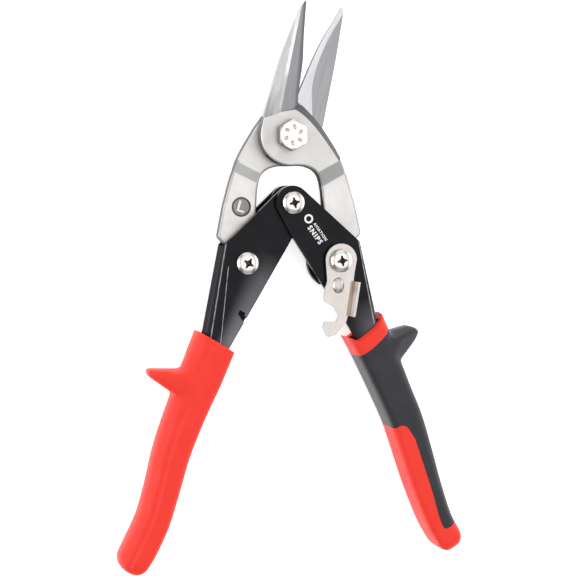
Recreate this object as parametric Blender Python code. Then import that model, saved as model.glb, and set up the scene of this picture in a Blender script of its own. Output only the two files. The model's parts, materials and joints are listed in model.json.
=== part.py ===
"""Compound-leverage aviation snips, left-cutting pattern, lying flat with the jaws towards +Y.

Every shape is drawn in millimetres from the main pivot (x across, y towards the tips, z up from
the plane where the two blades meet). Each object hangs from an empty on the axis it turns about.
"""

from math import acos, atan2, ceil, cos, degrees, pi, radians, sin

import bmesh
import bpy
from mathutils import Vector

# Driving dimensions, in millimetres and degrees.
TANG_REACH = 58.5  # main pivot to each tang pivot
HANDLE_REACH = 32.8  # top handle pivot to each tang pivot
TANG_HALF_SPAN = 20.4  # tang pivots from the centre line, jaws open
BLADE = 5.4  # blade thickness at the boss
TANG = 4.4  # tang thickness inside the handles
SHEET = 2.0  # handle sheet
CHANNEL = 7.6  # between a handle's two walls
GAP = 0.3  # between pieces that touch
RUN = 0.2  # round a pin in its hole
OPEN_PIVOT_PLAY = 0.7  # more room round the left tang's pin
BOSS_RADIUS = 13.4
EAR_RADIUS = 7.4
GRIP_BACK = -11.2  # the plane the tool lies on
GRIP_FRONT = 9.6
GRIP_SKIN = 2.2  # soft panel on the right grip
FOOTPRINT_CENTRE = (-1.0, -65.2)  # middle of the tool's outline

STEP = (SHEET + GAP) / 2  # how far each handle's middle plane lies from the blades' plane
FACE = GAP / 2
TOP_DROP = (TANG_REACH**2 - TANG_HALF_SPAN**2) ** 0.5 - (HANDLE_REACH**2 - TANG_HALF_SPAN**2) ** 0.5
TANG_DROP = (TANG_REACH**2 - TANG_HALF_SPAN**2) ** 0.5

MAIN = (0.0, 0.0)
TOP = (0.0, -TOP_DROP)
LEFT = (-TANG_HALF_SPAN, -TANG_DROP)
RIGHT = (TANG_HALF_SPAN, -TANG_DROP)
AXES = {"main_axis": MAIN, "top_axis": TOP, "right_axis": RIGHT, "latch_axis": RIGHT}

MM = 0.001


# Helpers


def clear_scene():
    for obj in list(bpy.data.objects):
        bpy.data.objects.remove(obj, do_unlink=True)


def material(name, colour, roughness, metallic=0.0):
    found = bpy.data.materials.get(name)
    if found:
        return found
    made = bpy.data.materials.new(name)
    made.use_nodes = True
    shader = made.node_tree.nodes["Principled BSDF"]
    shader.inputs["Base Color"].default_value = (*colour, 1.0)
    shader.inputs["Roughness"].default_value = roughness
    shader.inputs["Metallic"].default_value = metallic
    return made


def forged_steel():
    return material("forged_steel", (0.66, 0.64, 0.62), 0.42, 1.0)


def bright_nickel():
    return material("bright_nickel", (0.78, 0.77, 0.75), 0.2, 1.0)


def plain_steel():
    return material("plain_steel", (0.5, 0.5, 0.51), 0.35, 1.0)


def black_paint():
    return material("black_paint", (0.02, 0.02, 0.024), 0.25)


def red_plastic():
    return material("red_plastic", (0.83, 0.075, 0.05), 0.45)


def dark_rubber():
    return material("dark_rubber", (0.055, 0.057, 0.068), 0.6)


def axis_empty(name, xy):
    empty = bpy.data.objects.new(name, None)
    empty.location = Vector((xy[0] - FOOTPRINT_CENTRE[0], xy[1] - FOOTPRINT_CENTRE[1], -GRIP_BACK)) * MM
    bpy.context.scene.collection.objects.link(empty)
    return empty


def make_axes():
    return {name: axis_empty(name, xy) for name, xy in AXES.items()}


def finish(name, bm, axis, look=None, smooth_angle=35):
    """Turns bm, drawn in millimetres from the main pivot, into an object hanging from its axis."""
    origin = Vector((*AXES[axis], 0.0))
    bmesh.ops.recalc_face_normals(bm, faces=bm.faces)
    for vertex in bm.verts:
        vertex.co = (vertex.co - origin) * MM
    mesh = bpy.data.meshes.new(name)
    bm.to_mesh(mesh)
    bm.free()
    obj = bpy.data.objects.new(name, mesh)
    bpy.context.scene.collection.objects.link(obj)
    obj.parent = bpy.data.objects[axis]
    if look:
        mesh.materials.append(look)
        mesh.shade_smooth()
        mesh.set_sharp_from_angle(angle=radians(smooth_angle))
    else:
        obj.hide_render = True
        obj.display_type = "WIRE"
    return obj


def combine(obj, other, operation):
    """Adds a Boolean; other stays behind as a hidden helper."""
    modifier = obj.modifiers.new(other.name, "BOOLEAN")
    modifier.operation = operation
    modifier.object = other
    modifier.solver = "EXACT"
    other.hide_render = True
    other.display_type = "WIRE"


def arc(centre, radius, start, end, step=15):
    """Points from angle start to angle end, in degrees, ends included."""
    count = max(1, ceil(abs(end - start) / step))
    turns = [radians(start + (end - start) * i / count) for i in range(count + 1)]
    return [(centre[0] + radius * cos(t), centre[1] + radius * sin(t)) for t in turns]


def rounded(points, step=20):
    """An outline whose corner (x, y, r) is rounded to radius r; (x, y) stays as it is."""
    outline = []
    for i, point in enumerate(points):
        if len(point) == 2:
            outline.append(point)
            continue
        corner = Vector(point[:2])
        before = (Vector(points[i - 1][:2]) - corner).normalized()
        after = (Vector(points[(i + 1) % len(points)][:2]) - corner).normalized()
        half = acos(max(-1.0, min(1.0, before.dot(after)))) / 2
        middle = corner + (before + after).normalized() * point[2] / sin(half)
        touch_in = corner + before * point[2] * cos(half) / sin(half)
        touch_out = corner + after * point[2] * cos(half) / sin(half)
        first = atan2(touch_in.y - middle.y, touch_in.x - middle.x)
        turn = atan2(touch_out.y - middle.y, touch_out.x - middle.x) - first
        turn = (turn + pi) % (2 * pi) - pi
        outline += arc(middle, point[2], degrees(first), degrees(first + turn), step)
    return outline


def flip_x(points):
    """The mirror image across the centre line, still counter-clockwise."""
    return [(-point[0], *point[1:]) for point in reversed(points)]


def plate(outline, low, high):
    """A closed prism; low and high are heights or functions of (x, y)."""
    bm = bmesh.new()
    rings = []
    for level in (low, high):
        heights = [level(x, y) if callable(level) else level for x, y in outline]
        rings.append([bm.verts.new((x, y, z)) for (x, y), z in zip(outline, heights)])
    for i in range(len(outline)):
        j = (i + 1) % len(outline)
        bm.faces.new((rings[0][i], rings[0][j], rings[1][j], rings[1][i]))
    bm.faces.new(rings[1])
    bm.faces.new(list(reversed(rings[0])))
    bmesh.ops.recalc_face_normals(bm, faces=bm.faces)
    return bm


def disc(centre, radius, low, high, count=28):
    return plate(arc(centre, radius, 0, 360 - 360 / count, 360 / count), low, high)


def turned(centre, profile, count=28):
    """A solid of revolution about z; profile is (radius, z) pairs, and radius 0 makes a point."""
    bm = bmesh.new()
    rings = []
    for radius, z in profile:
        around = arc(centre, radius, 0, 360 - 360 / count, 360 / count) if radius else [centre]
        rings.append([bm.verts.new((x, y, z)) for x, y in around])
    closed_tube = profile[0] != profile[-1] and profile[0][0] and profile[-1][0]
    pairs = list(zip(rings, rings[1:] + ([rings[0]] if closed_tube else [])))
    for first, second in pairs:
        if first is second:
            continue
        for i in range(count):
            j = (i + 1) % count
            corners = [first[i % len(first)], first[j % len(first)]]
            corners += [second[j % len(second)], second[i % len(second)]]
            bm.faces.new(list(dict.fromkeys(corners)))
    return bm


def tube(centre, inner, outer, low, high, count=28):
    return turned(centre, [(inner, low), (outer, low), (outer, high), (inner, high)], count)


def drill(obj, name, axis, centre, radius, low, high, count=24):
    combine(obj, finish(name, disc(centre, radius, low, high, count), axis), "DIFFERENCE")


def along(start, end, part):
    return tuple(a + (b - a) * part for a, b in zip(start, end))


def smooth_path(points, parts):
    """Catmull-Rom curve through tuples of any length, parts steps between neighbours."""
    padded = [along(points[1], points[0], 2), *points, along(points[-2], points[-1], 2)]
    found = []
    for a, b, c, d in zip(padded, padded[1:], padded[2:], padded[3:]):
        for i in range(parts):
            t = i / parts
            weights = (
                (-t + 2 * t**2 - t**3) / 2,
                (2 - 5 * t**2 + 3 * t**3) / 2,
                (t + 4 * t**2 - 3 * t**3) / 2,
                (-(t**2) + t**3) / 2,
            )
            found.append(tuple(sum(w * p[k] for w, p in zip(weights, (a, b, c, d))) for k in range(len(b))))
    return found + [tuple(points[-1])]


# Blades

TANG_OUTER = [(32.4, -43.4, 2.4), (29.4, -29.5), (25.6, -17.0), (20.8, -6.8)]
TANG_INNER = [(8.2, -13.6, 5.0), (13.2, -18.6, 7.0), (14.8, -32.0), (14.6, -37.5)]
JOG_START = 19.5  # distance from the main pivot, along the tang, where the joggle begins
FRONT_JOG = 7.5
REAR_JOG = 5.6
JOG_DIRECTION = (sin(radians(27)), -cos(radians(27)))


def tang_end(lobe_radius):
    """The right-hand tang's round end, clockwise side first, with its stop lobe towards the centre."""
    shoulder = [(29.8, -46.2, 1.6), (27.0, -48.4)]
    heel = arc(RIGHT, 7.8, 42, -75)
    lobe = arc(RIGHT, lobe_radius, -125, -215)
    return shoulder, heel, lobe


def tang_outline(lobe_radius):
    """Right-hand tang from its inner root, down, round the end and up the outer side."""
    shoulder, heel, lobe = tang_end(lobe_radius)
    down = TANG_INNER + list(reversed(lobe))
    up = list(reversed(heel)) + list(reversed(shoulder)) + TANG_OUTER
    return down + up


def joggle(bm, side, length, rise_face, rise_far):
    """Bends the tang off the blade's plane: rise_face moves the mating side, rise_far the other."""
    direction = Vector((side * JOG_DIRECTION[0], JOG_DIRECTION[1], 0))
    for distance in (JOG_START, JOG_START + length):
        geometry = bm.verts[:] + bm.edges[:] + bm.faces[:]
        bmesh.ops.bisect_plane(bm, geom=geometry, plane_co=direction * distance, plane_no=direction)
    for vertex in bm.verts:
        part = (vertex.co.dot(direction) - JOG_START) / length
        part = max(0.0, min(1.0, part))
        near_face = abs(vertex.co.z) < BLADE / 2
        vertex.co.z += part * (rise_face if near_face else rise_far)


# Where the other handle's wall passes over the tang as the handles close.
HANDLE_SWEEP = [(11.5, -42.0), (9.4, -66.0), (0.0, -66.0), (0.0, -42.0)]


def front_blade():
    jaw_left = [(6.9, 57.6, 0.6), (3.1, 49.6), (-2.1, 37.2), (-7.5, 22.8), (-11.4, 9.0)]
    boss = arc(MAIN, BOSS_RADIUS, 165, 275)
    jaw_right = [(12.2, 6.0), (5.0, 13.6), (5.6, 20.0), (7.2, 28.0), (8.8, 40.5), (9.4, 57.6, 0.4)]
    outline = rounded(jaw_left + boss + tang_outline(13.0) + jaw_right)
    bm = plate(outline, FACE, FACE + BLADE)
    bottom, top = STEP - TANG / 2, STEP + TANG / 2
    joggle(bm, 1, FRONT_JOG, bottom - FACE, top - FACE - BLADE)
    blade = finish("front_blade", bm, "right_axis", forged_steel())

    ridge_foot, ridge_tip = (-2.0, 9.6), (6.6, 59.0)
    crease = [(-14.5, 6.6), (-8.0, 8.4), ridge_foot, (3.0, 10.0), (9.0, 5.4), (15.0, 9.0)]

    def ridge_height(y):
        return 4.9 - 2.4 * (y - 10) / 48

    def left_facet(x, y):
        ridge_x = along(ridge_foot, ridge_tip, (y - ridge_foot[1]) / 49.4)[0]
        return ridge_height(y) - 0.24 * (ridge_x - x)

    def right_facet(x, y):
        ridge_x = along(ridge_foot, ridge_tip, (y - ridge_foot[1]) / 49.4)[0]
        return ridge_height(y) - 0.2 * (x - ridge_x)

    left = plate([ridge_tip, (-14.5, 59.0), *crease[:3]], left_facet, 12)
    right = plate([ridge_tip, *crease[2:], (15.0, 59.0)], right_facet, 12)
    combine(blade, finish("front_jaw_left_grind", left, "right_axis"), "DIFFERENCE")
    combine(blade, finish("front_jaw_right_grind", right, "right_axis"), "DIFFERENCE")
    swept = plate(HANDLE_SWEEP, -STEP + CHANNEL / 2 - GAP, 6)
    combine(blade, finish("front_tang_relief", swept, "right_axis"), "DIFFERENCE")
    drill(blade, "front_pivot_hole", "right_axis", MAIN, 4.0 + RUN, -2, 8)
    drill(blade, "front_tang_hole", "right_axis", RIGHT, 4.0 + RUN, -4, 6)
    return blade


def rear_blade():
    edge = smooth_path([(25.4, 55.4), (15.0, 40.0), (8.0, 26.4), (5.4, 18.0), (3.4, 12.6)], 3)
    back = [(16.6, 4.0), (19.9, 18.0), (23.2, 33.0), (26.6, 55.4)]
    boss = arc(MAIN, BOSS_RADIUS, 105, 150)
    lower = arc(MAIN, BOSS_RADIUS, 265, 345)
    outline = rounded(edge + boss + flip_x(tang_outline(9.0)) + lower + back)
    bm = plate(outline, -FACE - BLADE, -FACE)
    bottom, top = -STEP - TANG / 2, -STEP + TANG / 2
    joggle(bm, -1, REAR_JOG, top + FACE, bottom + FACE + BLADE)
    blade = finish("rear_blade", bm, "main_axis", forged_steel())

    def relief(x, y):
        return -FACE - 0.16 * (x - 11.6 - max(0.0, y - 19) * 0.43)

    land = [(11.4, 7.0), (11.6, 19.0), (16.7, 35.5), (27.2, 58.0)]
    ground = plate([*land, (40.0, 58.0), (34.0, 7.0)], relief, 3)
    combine(blade, finish("rear_jaw_relief", ground, "main_axis"), "DIFFERENCE")

    def underside(x, y):
        return -FACE - BLADE + 0.055 * max(0.0, y - 13) + 0.22 * max(0.0, 12 - x + max(0.0, y - 19) * 0.36)

    under = [(-4.0, 15.4), (16.0, 13.6), (40.0, 13.6), (40.0, 58.0), (-4.0, 58.0)]
    combine(blade, finish("rear_jaw_taper", plate(under, -12, underside), "main_axis"), "DIFFERENCE")
    drill(blade, "rear_pivot_hole", "main_axis", MAIN, 4.0 + RUN, -8, 2)
    drill(blade, "rear_tang_hole", "main_axis", LEFT, 4.0 + RUN + OPEN_PIVOT_PLAY, -6, 4)
    mark = (-21.6, -30.6)
    top_face = -STEP + TANG / 2
    ring = disc(mark, 4.2, top_face - 0.4, top_face + 2)
    combine(blade, finish("cut_mark_recess", ring, "main_axis"), "DIFFERENCE")
    return blade


# Fasteners


def pan_screw(name, axis, centre, seat, length, head_radius=5.05):
    """A pan-head screw with a cross recess, its head on the plane z = seat."""
    height = 2.6
    dome = [(head_radius, seat), (head_radius, seat + 1.0)]
    for turn in (30, 50, 70):
        t = radians(turn)
        dome.append((head_radius * (0.45 + 0.55 * cos(t)), seat + 1.0 + 1.6 * sin(t)))
    profile = [(0, seat - length), (2.2, seat - length), (2.5, seat - length + 0.4), (2.5, seat)]
    profile += [*dome, (0, seat + height)]
    screw = finish(name, turned(centre, profile), axis, bright_nickel())
    x, y = centre
    arms = []
    for quarter in range(4):
        c, s = cos(radians(90 * quarter)), sin(radians(90 * quarter))
        for across, out in ((-0.55, 0.55), (-0.45, 2.3), (0.45, 2.3)):
            arms.append((x + out * c - across * s, y + out * s + across * c))
    recess = finish(name + "_recess", plate(arms, seat + 0.9, seat + height + 1), axis)
    combine(screw, recess, "DIFFERENCE")
    return screw


def hex_outline(centre, across_flats, first_corner):
    return arc(centre, across_flats / 2 / cos(pi / 6), first_corner, first_corner + 300, 60)


def hex_nut(name, axis, centre, top, height, across_flats, bore):
    bottom = top - height
    hexagon = plate(hex_outline(centre, across_flats, 0), bottom, top)
    nut = finish(name, hexagon, axis, bright_nickel())
    corner = across_flats / 2 / cos(pi / 6)
    rim = [(0, bottom), (across_flats * 0.48, bottom), (corner, bottom + 0.7)]
    rim += [(corner, top + 1), (0, top + 1)]
    combine(nut, finish(name + "_chamfer", turned(centre, rim), axis), "INTERSECT")
    drill(nut, name + "_bore", axis, centre, bore, top - height - 2, top + 2)
    return nut


PIVOT_FLATS = 12.0
PIVOT_HEAD = 4.0
PIVOT_WASHER = 0.8
PIVOT_NUT = 3.8


def main_pivot():
    seat = FACE + BLADE + GAP
    rear = -FACE - BLADE
    top = seat + PIVOT_HEAD
    head = plate(hex_outline(MAIN, PIVOT_FLATS, 90), seat, top)
    bolt = finish("pivot_bolt", head, "right_axis", bright_nickel())
    corner = PIVOT_FLATS / 2 / cos(pi / 6)
    crown = [(0, seat - 1), (corner, seat - 1), (corner, top - 0.9), (PIVOT_FLATS * 0.475, top), (0, top)]
    combine(bolt, finish("pivot_bolt_chamfer", turned(MAIN, crown), "right_axis"), "INTERSECT")
    shank = disc(MAIN, 4.0, GRIP_BACK + 0.5, seat + 1, 28)
    combine(bolt, finish("pivot_bolt_shank", shank, "right_axis"), "UNION")

    washer_top = rear - GAP
    washer = tube(MAIN, 4.0 + RUN, 8.4, washer_top - PIVOT_WASHER, washer_top)
    finish("pivot_washer", washer, "right_axis", plain_steel())
    nut_top = washer_top - PIVOT_WASHER - GAP
    nut = hex_nut("pivot_nut", "right_axis", MAIN, nut_top, PIVOT_NUT, 12.6, 4.0 + RUN)
    nut_bottom = nut_top - PIVOT_NUT
    drill(nut, "pivot_nut_counterbore", "right_axis", MAIN, 5.4, nut_bottom - 1, nut_bottom + 1.5)
    ring = tube(MAIN, 4.0 + RUN, 5.2, nut_bottom + 0.2, nut_bottom + 1.2)
    finish("pivot_nut_insert", ring, "right_axis", material("white_nylon", (0.75, 0.75, 0.72), 0.5))


def handle_pivot(side, axis, centre, middle, head_seat):
    """Screw, spacer tube, tang washers and nut where a tang sits in its handle."""
    inner_low, inner_high = middle - CHANNEL / 2, middle + CHANNEL / 2
    back = inner_low - SHEET
    nut_top = back - GAP
    pan_screw(side + "_pivot_screw", axis, centre, head_seat, head_seat - nut_top + 2.6)
    spacer = tube(centre, 2.5 + RUN, 4.0, inner_low + GAP, inner_high - GAP)
    finish(side + "_pivot_bushing", spacer, axis, plain_steel())
    front_washer = tube(centre, 4.0 + RUN, 7.2, middle + TANG / 2 + GAP, inner_high - GAP, 24)
    finish(side + "_washer_front", front_washer, axis, plain_steel())
    back_washer = tube(centre, 4.0 + RUN, 7.2, inner_low + GAP, middle - TANG / 2 - GAP, 24)
    finish(side + "_washer_back", back_washer, axis, plain_steel())
    hex_nut(side + "_pivot_nut", axis, centre, nut_top, 2.5, 8.0, 2.5 + RUN)


def top_pivot():
    front = STEP + CHANNEL / 2 + SHEET
    back = -STEP - CHANNEL / 2 - SHEET
    pan_screw("top_pivot_screw", "top_axis", TOP, front + GAP, front - back + 2 * GAP + 2.1)
    between = CHANNEL / 2 - STEP - GAP
    finish("top_pivot_bushing", tube(TOP, 2.5 + RUN, 3.9, -between, between), "top_axis", plain_steel())
    hex_nut("top_pivot_nut", "top_axis", TOP, back - GAP, 2.3, 8.0, 2.5 + RUN)


SPRING_WIRE = 0.75
SPRING_RADIUS = 5.3
SPRING_PIN = (10.0, -9.4)  # where a leg drops through its handle, from the top pivot


def handle_spring():
    """Torsion spring: two turns, then two legs whose ends drop through the handles' back walls."""
    turns = 2
    pitch = 1.7
    right_start, left_end = -20.0, 200.0
    sweep = 360 * (turns - 1) + (left_end - right_start)
    count = 44
    coil = []
    for i in range(count + 1):
        t = radians(right_start + sweep * i / count)
        height = -1.4 + pitch * sweep / 360 * i / count
        coil.append((TOP[0] + SPRING_RADIUS * cos(t), TOP[1] + SPRING_RADIUS * sin(t), height))
    right_x, leg_y = SPRING_PIN
    right_pin = (TOP[0] + right_x, TOP[1] + leg_y)
    left_pin = (TOP[0] - right_x, TOP[1] + leg_y)
    right_leg = [
        (*right_pin, -STEP - CHANNEL / 2 + 0.1),
        (*right_pin, -2.6),
        (right_pin[0] - 0.3, right_pin[1] + 0.3, -1.6),
        (right_pin[0] - 1.2, right_pin[1] + 1.6, -1.4),
    ]
    left_leg = [
        (left_pin[0] + 1.2, left_pin[1] + 1.6, 1.3),
        (left_pin[0] + 0.3, left_pin[1] + 0.3, 0.8),
        (*left_pin, -0.4),
        (*left_pin, -STEP - CHANNEL / 2 - SHEET + 0.2),
    ]
    points = [*right_leg, *coil, *left_leg]
    curve = bpy.data.curves.new("handle_spring", "CURVE")
    curve.dimensions = "3D"
    curve.bevel_depth = SPRING_WIRE * MM
    curve.bevel_resolution = 2
    curve.use_fill_caps = True
    line = curve.splines.new("POLY")
    line.points.add(len(points) - 1)
    origin = Vector((*TOP, 0.0))
    for target, point in zip(line.points, points):
        target.co = (*((Vector(point) - origin) * MM), 1.0)
    spring = bpy.data.objects.new("handle_spring", curve)
    spring.parent = bpy.data.objects["top_axis"]
    curve.materials.append(plain_steel())
    bpy.context.scene.collection.objects.link(spring)


# Handles

BEND = 2.6
SHOULDER = (29.4, -46.0)
OUTER_EDGE = [(30.9, -47.4), (38.9, -84.0)]
INNER_EDGE = [(-0.7, -43.6), (29.0, -91.4), (35.2, -99.5)]  # the last point is inside the grip
CORE_INNER = (-3.4, -1.0)  # corners of the core's end, from its middle
CORE_OUTER = (5.4, 1.6)


def handle_outline(core_end):
    """The right-hand handle from the front: ear, inner side, core in the grip, outer side, shoulder."""
    ear = arc(TOP, EAR_RADIUS, 47, 205)
    core = [(*core_corner(core_end, CORE_INNER), 2.0), (*core_corner(core_end, CORE_OUTER), 2.0)]
    return rounded([*ear, *INNER_EDGE, *core, *reversed(OUTER_EDGE), SHOULDER])


def core_corner(core_end, corner):
    return (core_end[0] + corner[0], core_end[1] + corner[1])


def handle_cavity(core_end):
    """The space inside the channel: open at the top and towards the other handle."""
    x, y = core_end
    web = [(28.3, -48.6), (36.6, -84.4), (x + 3.2, y + 1.0)]
    return [(33.4, -45.2), (60.0, 0.0), (-40.0, 0.0), (-40.0, y - 10), (x + 3.2, y - 10), *reversed(web)]


def bend_edges(bm, core_end, side):
    """Rounds the two long corners where the flanges turn into the outer side."""
    outer = [*OUTER_EDGE, core_corner(core_end, CORE_OUTER)]

    def on_outer(vertex):
        point = Vector((side * vertex.co.x, vertex.co.y))
        for a, b in zip(outer, outer[1:]):
            start, end = Vector(a), Vector(b)
            run = (end - start).normalized()
            ahead = (point - start).dot(run)
            off = abs((point - start).cross(run))
            if off < 0.05 and -0.1 < ahead < (end - start).length + 0.1:
                return True
        return False

    chosen = [
        edge
        for edge in bm.edges
        if abs(edge.verts[0].co.z - edge.verts[1].co.z) < 0.01
        and edge.calc_length() > 1.0
        and all(on_outer(v) for v in edge.verts)
    ]
    bmesh.ops.bevel(bm, geom=chosen, offset=BEND, segments=4, profile=0.5, affect="EDGES")


def handle(name, axis, side, middle, core_end):
    low, high = middle - CHANNEL / 2 - SHEET, middle + CHANNEL / 2 + SHEET
    outline = handle_outline(core_end)
    cavity = handle_cavity(core_end)
    if side < 0:
        outline, cavity = flip_x(outline), flip_x(cavity)
    bm = plate(outline, low, high)
    bend_edges(bm, core_end, side)
    shell = finish(name, bm, axis, black_paint())
    inside = plate(cavity, middle - CHANNEL / 2, middle + CHANNEL / 2)
    combine(shell, finish(name + "_inside", inside, axis), "DIFFERENCE")
    pivot = (side * RIGHT[0], RIGHT[1])
    drill(shell, name + "_tang_holes", axis, pivot, 2.5 + RUN, -12, 12)
    drill(shell, name + "_top_holes", axis, TOP, 2.5 + RUN, -12, 12)
    pin = (side * SPRING_PIN[0], TOP[1] + SPRING_PIN[1])
    drill(shell, name + "_spring_hole", axis, pin, SPRING_WIRE + 0.35, -12, middle, 12)
    return shell


RIGHT_CORE = (54.8, -139.0)
LEFT_CORE = (56.0, -138.0)  # mirrored for the left handle
CATCH = (-22.8, -77.2)  # middle of the latch notch, on the left handle's inner edge
# The latch notch from its middle, as (depth, towards the ear): a slanting mouth, then a pocket that
# runs up behind a lip, so that the latch's tooth is held when the handles relax.
CATCH_MOUTH = [(-0.6, 0.2), (-4.0, -0.75), (-4.0, -3.5), (0.2, -1.65)]
CATCH_POCKET = [(2.3, -0.65), (2.3, 1.25), (-0.6, 1.25)]
CATCH_SHAPE = CATCH_MOUTH + CATCH_POCKET


def handles():
    handle("right_handle", "top_axis", 1, STEP, RIGHT_CORE)
    left = handle("left_handle", "top_axis", -1, -STEP, LEFT_CORE)
    inward = Vector((-0.85, 0.53))
    towards_ear = Vector((0.53, 0.85))
    outline = [tuple(Vector(CATCH) + inward * u + towards_ear * v) for u, v in CATCH_SHAPE]
    notch = finish("latch_notch", plate(outline, 0.5, 8), "top_axis")
    combine(left, notch, "DIFFERENCE")


# Grips

LEFT_GRIP = [
    (-34.6, -88.4, 9.3),
    (-41.7, -104.5, 9.0),
    (-48.3, -119.0, 8.3),
    (-54.6, -134.7, 7.8),
    (-59.2, -150.4, 7.3),
    (-63.8, -164.5, 7.1),
    (-69.3, -175.6, 7.1),
    (-72.2, -180.6, 6.8),
]
RIGHT_GRIP = [
    (32.9, -84.6, 9.6),
    (37.4, -94.0, 9.1),
    (45.9, -114.0, 8.2),
    (51.5, -127.4, 8.0),
    (56.2, -142.6, 7.7),
    (60.5, -157.0, 7.2),
    (66.0, -172.6, 6.6),
    (70.6, -181.4, 6.4),
]
GRIP_SIDES = 24
BACK_FLATNESS = 1.12  # over 1, the slices' backs are cut flat


def grip_ring(centre, across, wide, deep, inset):
    """One slice of a grip: a soft rectangle with a flat back; deep scales its depth."""
    points = []
    middle = (GRIP_FRONT + GRIP_BACK) / 2
    half_depth = ((GRIP_FRONT - GRIP_BACK) / 2 - inset) * deep
    for i in range(GRIP_SIDES):
        t = 2 * pi * (i + 0.5) / GRIP_SIDES
        out = abs(cos(t)) ** 0.8 * (1 if cos(t) > 0 else -1)
        up = abs(sin(t)) ** 0.8 * (1 if sin(t) > 0 else -1)
        z = middle + half_depth * max(-1.0, up * (BACK_FLATNESS if up < 0 else 1.0))
        points.append((centre[0] + across[0] * wide * out, centre[1] + across[1] * wide * out, z))
    return points


def grip_body(stations, inset, end_radius):
    """A grip lofted through its stations, with a rounded far end."""
    path = [(x, y, wide - inset, 1.0) for x, y, wide in smooth_path(stations, 3)]
    last, before = Vector(path[-1][:2]), Vector(path[-2][:2])
    run = (last - before).normalized()
    end_width = path[-1][2]
    for turn in (30, 55, 75):
        t = radians(turn)
        centre = last + run * (end_radius - inset) * sin(t)
        path.append((*centre, end_width * cos(t) ** 0.75, cos(t) ** 0.3))
    bm = bmesh.new()
    rings = []
    for i, (x, y, wide, deep) in enumerate(path):
        ahead, behind = path[min(i + 1, len(path) - 1)], path[max(i - 1, 0)]
        way = Vector((ahead[0] - behind[0], ahead[1] - behind[1])).normalized()
        rings.append([bm.verts.new(p) for p in grip_ring((x, y), (-way.y, way.x), wide, deep, inset)])
    for first, second in zip(rings, rings[1:]):
        for i in range(GRIP_SIDES):
            j = (i + 1) % GRIP_SIDES
            bm.faces.new((first[i], first[j], second[j], second[i]))
    bm.faces.new(rings[0])
    bm.faces.new(list(reversed(rings[-1])))
    return bm


def guard(outline, low, high):
    bm = plate(rounded(outline), low, high)
    edges = [e for e in bm.edges if abs(e.verts[0].co.z - e.verts[1].co.z) < 0.01]
    bmesh.ops.bevel(bm, geom=edges, offset=1.4, segments=2, profile=0.5, affect="EDGES")
    return bm


def pocket(core_end, side, middle):
    """Room for the handle's core, with a gap all round."""
    grow = GAP + 0.2
    core = [core_corner(core_end, CORE_INNER), core_corner(core_end, CORE_OUTER)]
    outline = grown([*core, OUTER_EDGE[1], (34.0, -63.0), (11.5, -63.0), *INNER_EDGE[1:]], grow)
    if side < 0:
        outline = flip_x(outline)
    low, high = middle - CHANNEL / 2 - SHEET - grow, middle + CHANNEL / 2 + SHEET + grow
    return plate(outline, low, high)


def left_grip():
    grip = finish("left_grip", grip_body(LEFT_GRIP, 0, 6.6), "top_axis", red_plastic())
    fin = [(-63.9, -98.9, 1.6), (-62.9, -102.2, 1.6), (-52.0, -110.5), (-44.0, -104.0), (-47.0, -97.4)]
    fin_piece = finish("left_grip_guard", guard(fin, -6.5, 6.5), "top_axis")
    combine(grip, fin_piece, "UNION")
    combine(grip, finish("left_grip_pocket", pocket(LEFT_CORE, -1, -STEP), "top_axis"), "DIFFERENCE")
    return grip


PANEL = [
    (46.0, -85.0),
    (36.5, -93.4),
    (29.4, -98.6),
    (18.0, -104.0),
    (30.0, -130.0),
    (38.6, -127.0),
    (43.8, -130.6),
    (49.4, -129.8),
    (54.0, -135.4),
    (61.2, -157.6),
    (66.6, -175.2),
    (69.2, -176.6),
    (80.0, -171.0),
    (74.0, -110.0),
    (62.0, -80.0),
]


def grown(outline, amount):
    """The outline moved outwards by amount, corner by corner."""
    centre_side = 1 if signed_area(outline) > 0 else -1
    moved = []
    for i, point in enumerate(outline):
        here = Vector(point)
        before = (here - Vector(outline[i - 1])).normalized()
        after = (Vector(outline[(i + 1) % len(outline)]) - here).normalized()
        normal = (Vector((before.y, -before.x)) + Vector((after.y, -after.x))).normalized()
        moved.append(tuple(here + normal * amount * centre_side))
    return moved


def signed_area(outline):
    pairs = zip(outline, outline[1:] + outline[:1])
    return sum(a[0] * b[1] - b[0] * a[1] for a, b in pairs) / 2


def right_grip():
    """Red core with a collar, and a soft dark panel moulded round its outer side."""
    core = finish("right_grip", grip_body(RIGHT_GRIP, 0, 6.4), "top_axis", red_plastic())
    region = finish("right_panel_room", plate(grown(PANEL, GAP), -20, 20), "top_axis")
    combine(core, region, "DIFFERENCE")
    sleeve = finish("right_grip_sleeve", grip_body(RIGHT_GRIP, GRIP_SKIN, 6.4), "top_axis")
    combine(core, sleeve, "UNION")
    combine(core, finish("right_grip_pocket", pocket(RIGHT_CORE, 1, STEP), "top_axis"), "DIFFERENCE")
    mouth = arc((27.0, -74.0), 15.0, 0, 345)
    combine(core, finish("right_collar_mouth", plate(mouth, -20, 20), "top_axis"), "DIFFERENCE")

    panel = finish("right_grip_overmold", grip_body(RIGHT_GRIP, 0, 6.4), "top_axis", dark_rubber())
    fin = [(56.9, -88.6, 1.6), (49.6, -99.0), (42.0, -97.0), (41.0, -91.0), (53.4, -84.6, 1.8)]
    combine(panel, finish("right_grip_guard", guard(fin, -6.5, 6.5), "top_axis"), "UNION")
    combine(panel, finish("right_panel_region", plate(PANEL, -20, 20), "top_axis"), "INTERSECT")
    room = finish("right_sleeve_room", grip_body(RIGHT_GRIP, GRIP_SKIN - GAP, 6.4), "top_axis")
    combine(room, finish("right_panel_pocket", pocket(RIGHT_CORE, 1, STEP), "top_axis"), "UNION")
    combine(panel, room, "DIFFERENCE")


# Latch

LATCH_SHEET = 1.5
LATCH_WASHER = 0.5


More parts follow.
